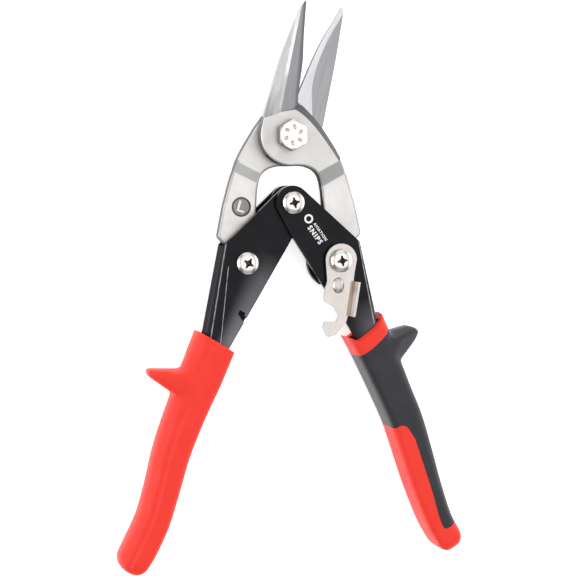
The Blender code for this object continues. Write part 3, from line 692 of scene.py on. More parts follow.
def front_blade():
    left = [(8.3, 58.0), (5.4, 53.6), (1.7, 45.6), (-1.9, 37.0), (-5.1, 28.3), (-8.0, 19.0), (-11.7, 8.2)]
    boss = arc(MAIN, BOSS_RADIUS, 165, 262)
    corner = [(11.2, 7.2), (6.4, 12.2)]
    throat = [(4.2, 14.2), (4.5, 18.4), (5.6, 24.6), (6.9, 32.8), (7.6, 43.0), (8.6, 53.2), (9.2, 57.8)]
    outline = smooth_path(left, 4) + boss + tang_inner(13.0) + tang_outer() + corner
    outline += smooth_path(throat, 4)
    bm = plate(rounded(outline), FACE, FACE + BLADE)
    soften(bm, level_edges(bm, lambda x, y: y < 8.5 and (x < 9 or y < -12)), EDGE_ROUND)
    bottom, top = STEP - TANG / 2, STEP + TANG / 2
    joggle(bm, 1, FRONT_JOG, bottom - FACE, top - FACE - BLADE)
    blade = solid(bm)

    ridge_foot, ridge_tip = (-4.3, 10.0), (7.6, 59.0)

    def ridge_height(y):
        return 4.9 - 2.4 * (y - 10) / 48

    def ridge_x(y):
        return along(ridge_foot, ridge_tip, (y - ridge_foot[1]) / 49.0)[0]

    def left_facet(x, y):
        return ridge_height(y) - 0.24 * (ridge_x(y) - x)

    def right_facet(x, y):
        return ridge_height(y) - 0.2 * (x - ridge_x(y))

    sweep = [(11.5, -42.0), (9.4, -66.0), (0.0, -66.0), (0.0, -42.0)]
    combine(blade, plate(sweep, -STEP + CHANNEL / 2 - GAP, 6))
    drill(blade, MAIN, BORE)
    drill(blade, RIGHT, BORE)
    jaw = [(-14.5, 6.8), (-8.0, 8.6), ridge_foot, (2.4, 11.0), (7.0, 14.0), (20.0, 30.0), (15.0, 59.3)]
    jaw.append((-14.5, 59.3))
    for facet in (left_facet, right_facet):
        combine(blade, plate(jaw, facet, 12))
    rim = [(0.0, 11.8), (2.1, 11.0), (4.8, 9.4), (9.5, 5.1), (13.8, -0.1), (19.0, -7.4), (24.3, -15.7)]
    rim = smooth_path([(x, y, FACE + BLADE) for x, y in (*rim, (29.0, -24.0))], 3)
    away = [(x + 9.0, y + 9.0, z - 0.42 * 12.7) for x, y, z in rim]
    combine(blade, above(rim, away, 14.0))
    for i in range(9):
        combine(blade, disc((4.2 + 0.06 * i, 14.8 + 0.62 * i), 0.15, -1, 8, 8))
    clean(blade)
    score(blade, ((14.0, 0, 0), (1, 0, 0)), ((0, -41.0, 0), (0, 1, 0)))

    def pick(face):
        x, y, _ = face.center
        lean = face.normal
        if x < 14.0 and y < -41.0:
            return PAINT
        # Side walls: painted shade, near-black on the tang's inner walls and dark steel on the rest, except
        # the jaw's left walls, which take the polished edge.
        if lean.z < 0.5:
            inner = y < -8 and (lean.x < 0 or x < 9)
            return INNER_SHADE if inner else EDGE_POLISH if y > 9.5 and lean.x < 0 else SHADED_SIDE
        if y > -20 and lean.x > 0.2 and lean.y > 0.15:
            return JAW_RIGHT
        if lean.z < 0.985 and y < -10:
            return BLASTED_SHADE
        if y < 8.5 or lean.z > 0.995:
            return BLASTED
        return JAW_LEFT if lean.x < -0.1 else JAW_RIGHT

    looks = [BLASTED, JAW_LEFT, JAW_RIGHT, SHADED_SIDE, PAINT, INNER_SHADE, EDGE_POLISH, BLASTED_SHADE]
    finish_blade(blade, "front_blade", looks, pick)


def rear_blade():
    edge = [(25.6, 55.8), (21.9, 49.6), (17.0, 42.0), (12.6, 33.6), (8.9, 25.6), (6.0, 19.2), (3.4, 12.9)]
    back = smooth_path([(16.6, 4.0), (19.9, 18.0), (23.2, 33.0), (26.6, 52.6)], 4) + [(26.8, 54.6)]
    boss = arc(MAIN, BOSS_RADIUS, 100, 150)
    lower = arc(MAIN, BOSS_RADIUS, 278, 345)
    outline = smooth_path(edge, 4) + boss + flip_x(tang_inner(9.0) + tang_outer()) + lower + back
    bm = plate(rounded(outline), -FACE - BLADE, -FACE)
    soften(bm, level_edges(bm, lambda x, y: y < 4.5 and x < 8), EDGE_ROUND)
    bottom, top = -STEP - TANG / 2, -STEP + TANG / 2
    joggle(bm, -1, REAR_JOG, top + FACE, bottom + FACE + BLADE)
    blade = solid(bm)

    def underside(x, y):
        return -FACE - BLADE + 0.055 * max(0.0, y - 13) + 0.22 * max(0.0, 12 - x + max(0.0, y - 19) * 0.36)

    land = [(11.7, -3.0), (11.6, 10.0), (11.5, 17.7), (12.2, 23.8), (14.8, 32.0), (19.8, 42.3)]
    line = [(x, y, -FACE) for x, y in smooth_path([*land, (25.2, 50.8), (30.0, 57.6)], 4)]
    reach, slope = 24.0, 0.16
    combine(blade, above(line, [(x + reach, y, z - slope * reach) for x, y, z in line], 6.0))
    under = [(-4.0, 15.4), (16.0, 13.6), (40.0, 13.6), (40.0, 58.0), (-4.0, 58.0)]
    combine(blade, plate(under, -12, underside))
    drill(blade, MAIN, BORE)
    drill(blade, LEFT, BORE + DRIFT)
    mark = (-21.6, -30.6)

    def groove(inner, outer, low, high):
        """A square-sectioned ring round the mark."""
        return turned(mark, [(inner, low), (outer, low), (outer, high), (inner, high), (inner, low)])

    combine(blade, disc(mark, 4.15, top - 0.35, top + 2))
    combine(blade, groove(3.55, 4.3, top - 0.75, top + 1))
    clean(blade)
    score(blade, ((0, 8.6, 0), (0, 1, 0)), ((-4.0, 0, 0), (1, 0, 0)), ((0, -3.0, 0), (0, 1, 0)))

    def pick(face):
        x, y, z = face.center
        lean = face.normal
        off = (Vector((x, y)) - Vector(mark)).length
        # The groove round the mark takes painted shade, the near-black recess nickel; the mark's floor
        # keeps its own ground tone.
        if off < 4.5 and z < top - 0.05:
            return MARK if off < 3.5 else RECESS_SHADE_AND_STAIN
        # Side walls: painted shade, near-black on the tang's inner walls and dark steel on the rest.
        if lean.z < 0.5:
            return INNER_SHADE if y < -8 and lean.x > 0 else SHADED_SIDE
        if lean.z < 0.985 and y < -10:
            return BLASTED_SHADE
        if y > -3.0 and lean.x > 0.08:
            return JAW_RELIEF
        return BLASTED if y < 8.6 or x < -4.0 or z < -FACE - 2.2 else JAW_BAND

    looks = [BLASTED, JAW_BAND, JAW_RELIEF, MARK, SHADED_SIDE, RECESS_SHADE_AND_STAIN, INNER_SHADE, BLASTED_SHADE]
    finish_blade(blade, "rear_blade", looks, pick)
    letter = [(-1.9, 2.5), (-1.9, -2.4), (1.6, -2.4), (1.6, -1.4), (-0.8, -1.4), (-0.8, 2.5)]
    letter = [(mark[0] + 0.3 + x * 0.96 + y * 0.3, mark[1] + y * 0.96 - x * 0.3) for x, y in letter]
    raised = solid(plate(letter, top - 0.5, top - 0.02))
    finish(raised, "left_cut_mark", "rear_blade", [BLASTED], [], 0.12, 30)
    # A near-black ring laid on the groove's floor round the mark: painted shade.
    ring = solid(groove(3.62, 4.26, top - 0.74, top - 0.5))
    finish(ring, "left_cut_ring_shade", "rear_blade", [RECESS_SHADE_AND_STAIN], [], 0, 30)


# Fasteners


def cross_screw(name, body, centre, node, turn):
    """Pan-head screw: domed head with a rounded rim and a tapered cross recess."""
    low, high = span(node)
    seat, rim = high - 2.6, 5.05
    profile = [(0, low), (2.2, low), (PIN, low + 0.4), (PIN, seat), (rim - 0.25, seat), (rim, seat + 0.25)]
    profile.append((rim, seat + 0.85))
    for angle in range(12, 90, 11):
        t = radians(angle)
        profile.append((rim * (0.42 + 0.58 * cos(t)), seat + 0.85 + 1.75 * sin(t)))
    screw = solid(turned(centre, [*profile, (0, high)]))
    floor, mouth = seat + 0.7, seat + 3.2
    for quarter in range(2):
        ends = ((floor, 0.28, 0.9), (mouth, 0.55, 2.75))
        slot = stacked([[(-a, -b, z), (a, -b, z), (a, b, z), (-a, b, z)] for z, a, b in ends])
        spin = Matrix.Translation((*centre, 0)) @ Matrix.Rotation(radians(turn + 90 * quarter), 4, "Z")
        bmesh.ops.transform(slot, matrix=spin, verts=slot.verts)
        combine(screw, slot)
    combine(screw, turned(centre, [(0, floor - 0.5), (1.05, seat + 1.4), (1.5, mouth), (0, mouth)], 32))

    def pick(face):
        x, y, z = face.center
        off = (Vector((x, y)) - Vector(centre)).length
        # Painted shade: the cross recess's steep walls and its middle take the near-black recess nickel.
        steep = face.normal.z < 0.75 and off < 2.6 and z > seat + 0.4
        return RECESS_SHADE_AND_STAIN if steep or (off < 1.0 and z > seat) else NICKEL

    finish(screw, name, body, [NICKEL, RECESS_SHADE_AND_STAIN], [node], 0.1, 32, pick)


def hexagon(centre, across_flats, first_corner):
    return arc(centre, across_flats / 2 / cos(pi / 6), first_corner, first_corner + 300, 60)


def pivot_bolt():
    """Hex head with a turned chamfer, six small radial marks, and a plain shank."""
    low, high = span("pivot_bolt")
    seat, flats = high - 4.0, 12.0
    corner = flats / 2 / cos(pi / 6)
    bolt = solid(plate(hexagon(MAIN, flats, 90), seat, high))
    crown = [(0, seat - 1), (corner, seat - 1), (corner, high - 0.55), (flats / 2 - 0.15, high), (0, high)]
    combine(bolt, turned(MAIN, crown), "INTERSECT")
    shank = [(0, low), (3.6, low), (4.0, low + 0.5), (4.0, seat + 1), (0, seat + 1)]
    combine(bolt, turned(MAIN, shank), "UNION")
    for i in range(6):
        t = radians(60 * i + 22)
        combine(bolt, ball((1.1, 0.7, 0.4), (3.5 * cos(t), 3.5 * sin(t), high), t + 0.4, 16, 10))

    def pick(face):
        x, y, z = face.center
        # The head's sides take a darker, browner nickel; the marks' pits a smudged one.
        pit = high - 0.52 < z < high - 0.12 and Vector((x, y)).length < 5.0
        return SMUDGED if pit else BOLT_SIDE_NICKEL if face.normal.z < 0.3 else NICKEL

    looks = [NICKEL, BOLT_SIDE_NICKEL, SMUDGED]
    finish(bolt, "pivot_bolt_hex", "front_blade", looks, ["pivot_bolt"], 0.14, 25, pick)


def fasteners():
    cross_screw("top_screw", "right_handle", TOP, "top_pivot_screw", 12)
    cross_screw("right_screw", "right_handle", RIGHT, "right_pivot_screw", 8)
    cross_screw("left_screw", "left_handle", LEFT, "left_pivot_screw", 58)
    pivot_bolt()


# Handles

BEND = 2.6
SHOULDER = (29.4, -46.0)
OUTER_EDGE = [(30.9, -47.4), (38.9, -84.0)]
INNER_EDGE = [(-0.7, -43.6), (29.0, -91.4), (35.2, -99.5)]
CORE_INNER = (-3.4, -1.0)
CORE_OUTER = (5.4, 1.6)
RIGHT_CORE = (54.8, -139.0)
LEFT_CORE = (56.0, -138.0)
EAR_RADIUS = 7.4
HIGHLIGHT_HALF_WIDTH = 0.26  # half the width of the painted highlight line along a bend
BACK_TRIM = 2.7  # taken off the right handle's back wall along its inner edge


def core_corner(core_end, corner):
    return core_end[0] + corner[0], core_end[1] + corner[1]


def handle(node, side, core_end):
    """A pressed channel: two walls and the rounded outer side, with a flat that grows towards the grip."""
    low, high = span(node)
    middle = side * STEP
    x, y = core_end
    ear = arc(TOP, EAR_RADIUS, 47, 205, 6)
    core = [(*core_corner(core_end, CORE_INNER), 2.0), (*core_corner(core_end, CORE_OUTER), 2.0)]
    outline = rounded([*ear, *INNER_EDGE, *core, *reversed(OUTER_EDGE), SHOULDER])
    web = [(28.3, -48.6), (36.6, -84.4), (x + 3.2, y + 1.0)]
    cavity = [(33.4, -45.2), (60.0, 0.0), (-40.0, 0.0), (-40.0, y - 10), (x + 3.2, y - 10), *reversed(web)]
    outer = [*OUTER_EDGE, core_corner(core_end, CORE_OUTER)]
    if side < 0:
        outline, cavity = flip_x(outline), flip_x(cavity)
    bm = plate(outline, low, high)

    def on_outer(px, py):
        for a, b in zip(outer, outer[1:]):
            off, run = Vector((side * px, py)) - Vector(a), heading(a, b)
            if abs(off.cross(run)) < 0.05 and 0 < off.dot(run) < (Vector(b) - Vector(a)).length:
                return True
        return False

    soften(bm, [e for e in level_edges(bm, on_outer) if e.calc_length() > 1.0], BEND, 8)
    shell = solid(bm)
    shift = 0.0 if side < 0 else -1.8
    crease_start, crease_end = Vector((28.9 + shift, -56.0)), Vector((33.4 + shift, -92.0))
    crease_run = heading(crease_start, crease_end)

    def flank(px, py):
        """The front wall's height, which falls away beyond the second crease."""
        return high - 0.05 * max(0.0, (Vector((side * px, py)) - crease_start).cross(crease_run) * -1)

    slope = [crease_start, crease_end, (52.0, -92.0), (40.0, -52.0)]
    combine(shell, plate(slope if side > 0 else flip_x(slope), flank, high + 5))
    combine(shell, plate(cavity, middle - CHANNEL / 2, middle + CHANNEL / 2))
    drill(shell, (side * RIGHT[0], RIGHT[1]), PIN + RUN)
    drill(shell, TOP, PIN + RUN)
    combine(shell, disc((side * SPRING_PIN[0], TOP[1] + SPRING_PIN[1]), 1.1, -12, middle, 24))
    if side < 0:
        combine(shell, plate(latch_notch(), 3.0, 8))
    else:
        run = heading(*INNER_EDGE[:2])
        inward = left_of(run) * BACK_TRIM
        a, b = Vector(INNER_EDGE[0]) + run * 3.0, Vector(INNER_EDGE[1]) + run * 4.0
        ends = [a - inward, a - run * 4, a + inward, b + inward, b - inward]
        combine(shell, plate(ends, low - 1, middle))
    clean(shell)
    across = Vector((side * crease_run.y, -crease_run.x, 0))
    bend_line = Vector((side * 32.2, -60.0, 0))
    bend_across = Vector((-cos(radians(10.5)) * side, sin(radians(10.5)) * -1, 0))
    corner = Vector((side * crease_start.x, crease_start.y, 0))
    # Cuts for the painted highlight strips beside the second crease and along the bend.
    score(shell, *((corner + across * off, across) for off in (-0.02, 0.32)))
    score(shell, *((bend_line + bend_across * off, bend_across) for off in (-HIGHLIGHT_HALF_WIDTH, HIGHLIGHT_HALF_WIDTH)))

    # Each handle's paint carries a painted sheen on its front wall.
    paint = PAINT_RIGHT_SHEEN if side > 0 else PAINT_LEFT_SHEEN

    def pick(face):
        x, y, z = face.center
        tilt = face.normal.z
        front = z > high - 3.2
        off_bend = (Vector((x, y, 0)) - bend_line).dot(bend_across)
        # Painted highlights: a strip along the bend, and on the left handle one beside the second crease,
        # take a pale metallic paint that stands in for the light they catch.
        if front and -100 < y < -50 and tilt > 0.3 and abs(off_bend) < HIGHLIGHT_HALF_WIDTH:
            return BEND_HIGHLIGHT
        off_crease = (Vector((x, y, 0)) - corner).dot(across)
        if side < 0 and front and tilt > 0.95 and -0.02 < off_crease < 0.32 and -92 < y < -68:
            return BEND_HIGHLIGHT
        in_notch = side < 0 and -25.5 < x < -19 and -83 < y < -74.5 and 2.9 < z < 4.4
        return MATT_PAINT if in_notch or (abs(tilt) < 0.2 and side * x > 20) else paint

    looks = [paint, BEND_HIGHLIGHT, MATT_PAINT]
    finish(shell, node + "_channel", node, looks, [node], 0.3, 30, pick)


def latch_notch():
    """The catch in the left handle's edge: a slanting mouth, then a pocket behind a lip for the tooth."""
    middle = Vector((-22.8, -77.2))
    inward, towards_ear = Vector((-0.85, 0.53)), Vector((0.53, 0.85))
    mouth = [(-0.6, 0.2), (-4.0, -0.75), (-4.0, -3.5), (0.2, -1.65)]
    pocket_shape = [(2.2, -0.6), (2.2, 1.25), (-0.6, 1.25)]
    return [middle + inward * u + towards_ear * v for u, v in mouth + pocket_shape]


def lettering(words, height, start, turn, level, spacing=1.2):
    """Words as a very thin raised print on a flat face; start is the first letter's lower left corner."""
    curve = bpy.data.curves.new("words", "FONT")
    curve.body = words
    curve.size = height
    curve.extrude = 0.02
    curve.offset = 0.03 * height
    curve.space_character = spacing
    obj = from_curve("print", curve)
    obj.data.transform(Matrix.Translation((*start, level)) @ Matrix.Rotation(radians(turn), 4, "Z"))
    return obj


def handle_print():
    """A plain ring and the tool's own name, in white."""
    level = span("right_handle")[1] + 0.03
    ring = (7.0, -36.3)
    profile = [(1.2, level - 0.02), (2.0, level - 0.02), (2.0, level + 0.02), (1.2, level + 0.02)]
    pieces = [solid(turned(ring, [*profile, profile[0]], 48))]
    pieces.append(lettering("SNIPS", 3.1, (6.3, -40.2), -54.7, level, 1.25))
    pieces.append(lettering("AVIATION", 1.75, (9.0, -38.6), -54.7, level))
    for number, piece in enumerate(pieces):
        finish(piece, f"handle_print_{number}", "right_handle", [INK], [], 0, 30)


def handles():
    handle("right_handle", 1, RIGHT_CORE)
    handle("left_handle", -1, LEFT_CORE)
    handle_print()


# Grips

# Stations along each grip: x, y, half width.
LEFT_GRIP = [
    (-34.6, -88.4, 9.3), (-41.7, -104.5, 9.0), (-48.3, -119.0, 8.3), (-54.6, -134.7, 7.8),
    (-59.2, -150.4, 7.3), (-63.8, -164.5, 7.1), (-69.3, -175.6, 7.1), (-72.2, -180.6, 6.8),
]
RIGHT_GRIP = [
    (32.9, -84.6, 9.6), (37.4, -94.0, 9.1), (45.9, -114.0, 8.2), (51.5, -127.4, 8.0),
    (56.2, -142.6, 7.7), (60.5, -157.0, 7.2), (66.0, -172.6, 6.6), (70.6, -181.4, 6.4),
]
GRIP_BACK, GRIP_FRONT = span("left_grip")
SIDES = 56


def grip_loft(stations, shape, lead, end_radius):
    """A grip lofted through its stations; shape(turn) gives (across, up) from -1 to 1.

    The first slice is moved back by lead, to be cut off square later, and the far end is rounded.
    """
    start = Vector(stations[0][:2]) + heading(stations[1], stations[0]) * lead
    path = smooth_path([(*start, stations[0][2] * 1.02), *stations], 5)
    path = [(x, y, wide, 1.0) for x, y, wide in path]
    last, run = Vector(path[-1][:2]), heading(path[-2], path[-1])
    end_width = path[-1][2]
    for turn in range(10, 90, 10):
        t = radians(turn)
        centre = last + run * end_radius * sin(t)
        path.append((*centre, end_width * cos(t) ** 0.8, cos(t) ** 0.4))
    middle, half = (GRIP_FRONT + GRIP_BACK) / 2, (GRIP_FRONT - GRIP_BACK) / 2
    rings = []
    for i, (x, y, wide, deep) in enumerate(path):
        ahead, behind = path[min(i + 1, len(path) - 1)], path[max(i - 1, 0)]
        sideways = left_of(Vector((ahead[0] - behind[0], ahead[1] - behind[1])).normalized())
        ring = []
        for k in range(SIDES):
            across, up = shape(2 * pi * (k + 0.5) / SIDES)
            place = Vector((x, y)) + sideways * wide * across
            ring.append((*place, middle + half * deep * up))
        rings.append(ring)
    return stacked(rings)


def power(value, exponent):
    return abs(value) ** exponent * (1 if value > 0 else -1)


def left_shape(turn):
    """Full and round on the outer side, squarer on the inner side, with a soft ridge between."""
    c, s = cos(turn), sin(turn)
    across = power(c, 0.5 if c > 0 else 0.9)
    up = power(s, 0.42 if c > 0 else 0.85)
    if s < 0:
        return across, max(-1.0, up * 1.12)
    ridge = 0.05 * exp(-(((across - 0.03) / 0.15) ** 2))
    valley = 0.05 * exp(-(((across + 0.32) / 0.15) ** 2))
    return across, up * 0.95 + ridge - valley


def right_shape(turn):
    """Boxy: a flat front, and a steep flank on the inner side that meets it at a crease."""
    c, s = cos(turn), sin(turn)
    across = power(c, 0.5 if c > 0 else 0.3)
    up = power(s, 0.5 if c > 0 else 0.34)
    if s < 0:
        return power(c, 0.6), max(-1.0, power(s, 0.7) * 1.12)
    return across, up


def grown(outline, amount):
    """The outline moved outwards by amount, corner by corner."""
    area = sum(a[0] * b[1] - b[0] * a[1] for a, b in zip(outline, outline[1:] + outline[:1]))
    moved = []
    for i, point in enumerate(outline):
        before, after = heading(outline[i - 1], point), heading(point, outline[(i + 1) % len(outline)])
        inward = (left_of(before) + left_of(after)).normalized()
        moved.append(tuple(Vector(point) - inward * amount * (1 if area > 0 else -1)))
    return moved


def pocket(core_end, side):
    """Room for the handle's core, with a gap all round."""
    grow = GAP + 0.2
    core = [core_corner(core_end, CORE_INNER), core_corner(core_end, CORE_OUTER)]
    outline = grown([*core, OUTER_EDGE[1], (34.0, -63.0), (11.5, -63.0), *INNER_EDGE[1:]], grow)
    low, high = span("right_handle" if side > 0 else "left_handle")
    return plate(outline if side > 0 else flip_x(outline), low - grow, high + grow)


def rim_plane(stations, lift=0.0, turn=0.0):
    """A block that cuts off the grip's mouth, turned by some degrees from square."""
    run = heading(stations[1], stations[0])
    run.rotate(Matrix.Rotation(radians(turn), 2))
    base, side = Vector(stations[0][:2]) + run * lift, left_of(run) * 30
    return plate([base - side, base - side + run * 40, base + side + run * 40, base + side], -20, 20)


def guard(crest, lower, upper):
    """A grip's thumb guard, before it is melded: its crest, its two edges, and its back."""
    return hull([*crest, *lower, *upper, *((x, y, -4.5) for x, y, _ in upper + lower)])


def left_grip():
    grip = solid(grip_loft(LEFT_GRIP, left_shape, 5.0, 6.6))
    crest = [(-64.2, -99.4, 4.4), (-51.0, -101.4, 8.2), (-44.8, -105.5, 9.6)]
    lower = [(-64.8, -101.9, 3.4), (-58.0, -107.0, 5.0), (-52.5, -111.0, 6.8), (-46.5, -113.2, 8.6)]
    upper = [(-64.6, -98.8, 2.0), (-50.0, -99.8, 1.0), (-44.0, -100.4, 1.0)]
    combine(grip, guard(crest, lower, upper), "UNION")
    combine(grip, rim_plane(LEFT_GRIP, 0.0, -9.0))
    meld(grip, 0.45, 5)
    soothe(grip, (-54.0, -103.5, 2.0), 17.0, 44)
    combine(grip, pocket(LEFT_CORE, -1))
    finish(grip, "left_grip_moulding", "left_handle", [RED], ["left_grip"], 0.45, 42)


def panel_outline():
    """The dark panel's edge: collar line, a tongue of red that rises into it, and the outer side."""
    tongue = [(41.6, -128.6), (44.6, -130.4), (47.4, -129.2), (50.4, -130.0), (54.0, -135.4)]
    tail = smooth_path([(54.0, -135.4), (61.2, -157.6), (66.2, -174.6), (69.2, -176.8), (74.0, -174.0)], 6)
    collar = [(44.3, -70.0), (43.9, -80.0), (42.8, -85.4), (40.6, -88.8), (34.6, -94.0), (29.4, -97.2)]
    collar = smooth_path([*collar, (22.0, -101.0)], 4)
    inner = [(18.0, -104.0), (30.0, -130.0), (38.6, -127.4)]
    outer = [(84.0, -168.0), (76.0, -110.0), (66.0, -70.0)]
    return [*collar, *inner, *smooth_path(tongue, 5)[:-1], *tail, *outer]


def right_grip():
    whole = solid(grip_loft(RIGHT_GRIP, right_shape, 6.0, 6.4))
    crest = [(36.0, -93.0, 9.5), (48.0, -90.2, 8.8), (57.2, -86.8, 5.2)]
    lower = [(59.0, -88.3, 4.0), (56.9, -92.0, 4.5), (50.4, -99.0, 6.0), (42.0, -104.0, 9.3)]
    upper = [(58.0, -86.3, 2.5), (54.0, -85.2, 2.0), (43.0, -87.8, 2.0)]
    combine(whole, guard(crest, lower, upper), "UNION")
    combine(whole, rim_plane(RIGHT_GRIP, 2.6))
    mouth = [(17.4, -78.0), (20.6, -84.4), (24.0, -88.6), (28.0, -90.4, 2.0), (36.0, -84.8), (42.8, -76.0)]
    mouth = rounded([*mouth, (40.0, -60.0), (10.0, -60.0)])
    flare = grown(mouth, 1.5)
    levels = [(-20, flare), (GRIP_BACK, flare), (GRIP_BACK + 1.6, mouth)]
    levels += [(GRIP_FRONT - 1.6, mouth), (GRIP_FRONT, flare), (20, flare)]
    combine(whole, stacked([[(x, y, z) for x, y in ring] for z, ring in levels]))
    meld(whole, 0.4, 5)
    soothe(whole, (52.0, -91.0, 2.0), 15.0, 44)
    combine(whole, pocket(RIGHT_CORE, 1))
    dark = placed("panel", whole.data.copy())
    combine(dark, plate(panel_outline(), -20, 20), "INTERSECT")
    combine(whole, plate(panel_outline(), -20, 20))
    finish(whole, "right_grip_moulding", "right_handle", [RED], ["right_grip"], 0.3, 42)
    finish(dark, "right_grip_panel", "right_handle", [DARK], ["right_grip_overmold"], 0.3, 42)


# Latch

LATCH_SHEET = 1.5


def latch():
    """Bent plate with a hook, a dimple, a tooth behind its tip, and a thumb tab folded up."""
    low = span("latch_washer")[1] + GAP
    high = low + LATCH_SHEET
    head = arc((RIGHT[0] + 0.4, RIGHT[1] + 0.3), 7.1, 0, 180)
    left = [(14.2, -63.4), (12.9, -68.8, 1.2), (12.7, -72.4, 1.0), (16.7, -74.6, 2.0), (19.5, -79.0, 1.6)]
    bay = [(17.9, -81.6, 1.2), (12.7, -81.3, 0.6)]
    hook = [(11.7, -84.0, 0.8), (13.7, -88.2, 1.2), (17.3, -87.6, 2.0), (22.3, -82.4)]
    right = [(23.3, -79.4), (26.3, -63.3), (26.8, -60.0)]
    piece = solid(plate(rounded([*head, *left, *bay, *hook, *right]), low, high))

    fold_start, fold_end = Vector((22.9, -79.0)), Vector((25.5, -63.9))
    out = -left_of(heading(fold_start, fold_end))
    top = span("latch")[1]
    section = [(-0.4, low), (0.6, low)]
    fold = [radians(angle) for angle in (20, 40, 60)]
    section += [(0.6 + 1.6 * sin(t) * 0.9, low + 1.6 - 1.6 * cos(t)) for t in fold]
    section += [(2.9, top - 0.5), (2.4, top), (1.7, top)]
    section += [(0.75, high + 1.1), (0.3, high + 0.3), (-0.4, high)]
    tab = stacked([[(*(place + out * a), z) for a, z in section] for place in (fold_start, fold_end)])
    combine(piece, tab, "UNION")
    tooth = [(13.4, -83.0), (13.5, -83.8), (14.2, -83.7), (14.1, -82.9)]
    combine(piece, plate(tooth, 3.3, high - 0.4), "UNION")
    combine(piece, ball((2.7, 3.5, 1.5), (19.2, -65.6, high - 0.2)), "UNION")
    drill(piece, RIGHT, PIN + RUN)
    clean(piece)
    score(piece, ((0, 0, high + 1.9), (0, 0, 1)))

    def pick(face):
        x, y, z = face.center
        # Painted shade: the left-facing faces of the tab's fold, below the scored line, take a dull brown
        # nickel.
        in_fold = x > 22.6 and -80 < y < -63.5 and high + 0.02 < z < high + 1.9
        return FOLD_SHADE if in_fold and face.normal.x < -0.3 else NICKEL_SATIN

    finish(piece, "latch_plate", "latch", [NICKEL_SATIN, FOLD_SHADE], ["latch"], 0.28, 30, pick)


# Spring and the small parts carried over


def handle_spring():
    """The torsion spring as a round wire; it winds up about the top pivot as the handles close."""
    radius, wire = 5.3, 0.75
    turns_at, sweep, rise, count = radians(-20.0), radians(580.0), 2.74, 120
    right_pin, left_pin = ((side * SPRING_PIN[0], TOP[1] + SPRING_PIN[1]) for side in (1, -1))
    coil = []
    for i in range(count + 1):
        t = turns_at + sweep * i / count
        coil.append((TOP[0] + radius * cos(t), TOP[1] + radius * sin(t), -1.4 + rise * i / count))
    floor = -STEP - CHANNEL / 2
    start = [(*right_pin, floor + 0.1), (*right_pin, -2.6), (right_pin[0] - 1.2, right_pin[1] + 1.6, -1.4)]
    end = [(left_pin[0] + 1.2, left_pin[1] + 1.6, 1.3), (*left_pin, -0.4), (*left_pin, floor - SHEET + 0.2)]
    curve = bpy.data.curves.new("spring", "CURVE")
    curve.dimensions = "3D"
    curve.bevel_depth = wire
    curve.bevel_resolution = 5
    curve.use_fill_caps = True
    points = [*start, *coil, *end]
    line = curve.splines.new("POLY")
    line.points.add(len(points) - 1)
    for target, point in zip(line.points, points):
        target.co = (*point, 1.0)
    spring = from_curve("handle_spring_wire", curve)
    spring.data.transform(INTO_FRAME)
    spring.data.shade_smooth()
    spring.data.materials.append(STEEL)
    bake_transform(spring)
    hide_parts("handle_spring")


CARRIED = {
    NICKEL: ["pivot_nut", "top_pivot_nut", "right_pivot_nut", "left_pivot_nut"],
    NYLON: ["pivot_nut_insert"],
    STEEL: [
        "pivot_washer", "latch_washer", "top_pivot_bushing", "right_pivot_bushing", "left_pivot_bushing",
        "right_washer_front", "right_washer_back", "left_washer_front", "left_washer_back",
    ],
}


def carried_parts():
    """Small CAD parts that stay: each gets its material and rounded edges."""
    for look, nodes in CARRIED.items():
        for node in nodes:
            part = frame["nodes"][node]
            part.data.materials.clear()
            part.data.materials.append(look)
            round_edges(part, 0.12, 35)


# Studio

CEILING = 1.9  # brightness straight above
FLOOR_GLOW = 0.62
VIEW_WIDTH = 252.6336  # millimetres across the picture, at the target
VIEW_DISTANCE = 700.0


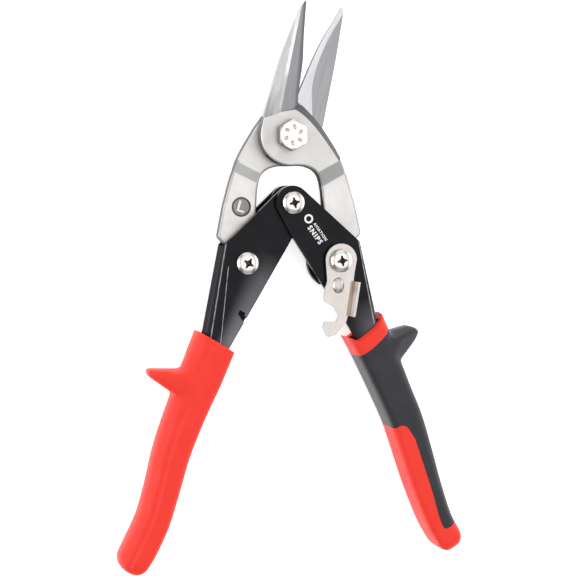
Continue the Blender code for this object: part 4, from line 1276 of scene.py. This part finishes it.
def studio():
    look = Look("studio_floor")
    tone = look.mix(look.noise(0.02, 2), (0.93, 0.93, 0.93), (0.96, 0.96, 0.96))
    floor = solid(plate([(-3000, -3000), (3000, -3000), (3000, 3000), (-3000, 3000)], -1, 0), "floor")
    glow = {"Emission_Color": (1, 1, 1, 1), "Emission_Strength": FLOOR_GLOW}
    floor.data.materials.append(look.done(tone, 0.9, **glow))
    floor.data.transform(Matrix.Scale(MM, 4))

    world = bpy.data.worlds.new("studio")
    bpy.context.scene.world = world
    world.use_nodes = True
    t = Nodes(world.node_tree)
    x, y, _ = t.split(t.node("ShaderNodeTexCoord").outputs["Generated"])
    walls = (
        (x, 0.42, 0.58, 0.0, -0.9), (x, 0.66, 0.86, 0.0, 1.7), (x, -0.42, -0.24, -0.9, 0.0),
        (x, -0.95, -0.72, 0.6, 0.0), (y, -0.55, -0.25, -1.2, 0.0), (y, 0.25, 0.55, 0.0, -0.5),
    )
    strength = t.total(*(t.ramp(*wall, smooth=True) for wall in walls), CEILING)
    background = world.node_tree.nodes["Background"]
    background.inputs["Color"].default_value = (1.0, 1.0, 1.0, 1.0)
    t.set(background.inputs["Strength"], t.maths("MAXIMUM", strength, 0.15))


def card(name, place, target, size, brightness):
    """A rectangular softbox of a given brightness, turned to face target; metres."""
    light = bpy.data.lights.new(name, "AREA")
    light.shape = "RECTANGLE"
    light.size, light.size_y = size
    light.energy = brightness * pi * size[0] * size[1]
    obj = placed(name, light)
    obj.location = place
    obj.rotation_euler = (Vector(target) - Vector(place)).to_track_quat("-Z", "Y").to_euler()
    return obj


def lights():
    strip = card("left_strip", (-1.0, 0.0, 0.75), (0.0, 0.0, 0.0), (1.2, 0.05), 28.0)
    strip.visible_diffuse = False
    card("low_strip", (-1.3, 0.0, 0.16), (0.0, 0.0, 0.0), (1.4, 0.10), 7.0)


def camera():
    """A view from above, a little from the left and from the tip end, rolled by a degree."""
    turn, tilt, roll = radians(16.0), radians(4.0), radians(-1.02)
    target = Vector((-0.93, -66.6, 0.0))
    back = Vector((-sin(turn) * cos(tilt), sin(tilt), cos(turn) * cos(tilt)))
    right = Vector((0, 1, 0)).cross(back).normalized()
    up = back.cross(right)
    right, up = right * cos(roll) + up * sin(roll), up * cos(roll) - right * sin(roll)
    data = bpy.data.cameras.new("camera")
    data.sensor_width = 36.0
    data.lens = data.sensor_width * VIEW_DISTANCE / VIEW_WIDTH
    data.clip_start, data.clip_end = 0.01, 20.0
    obj = placed("camera", data)
    place = ORIGIN + (target + back * VIEW_DISTANCE) * MM
    obj.matrix_world = Matrix.Translation(place) @ Matrix((right, up, back)).transposed().to_4x4()
    bpy.context.scene.camera = obj


for build in (
    front_blade, rear_blade, fasteners, handles, left_grip, right_grip, latch, handle_spring,
    carried_parts, studio, lights, camera,
):
    build()
bpy.context.scene.view_settings.view_transform = "Standard"
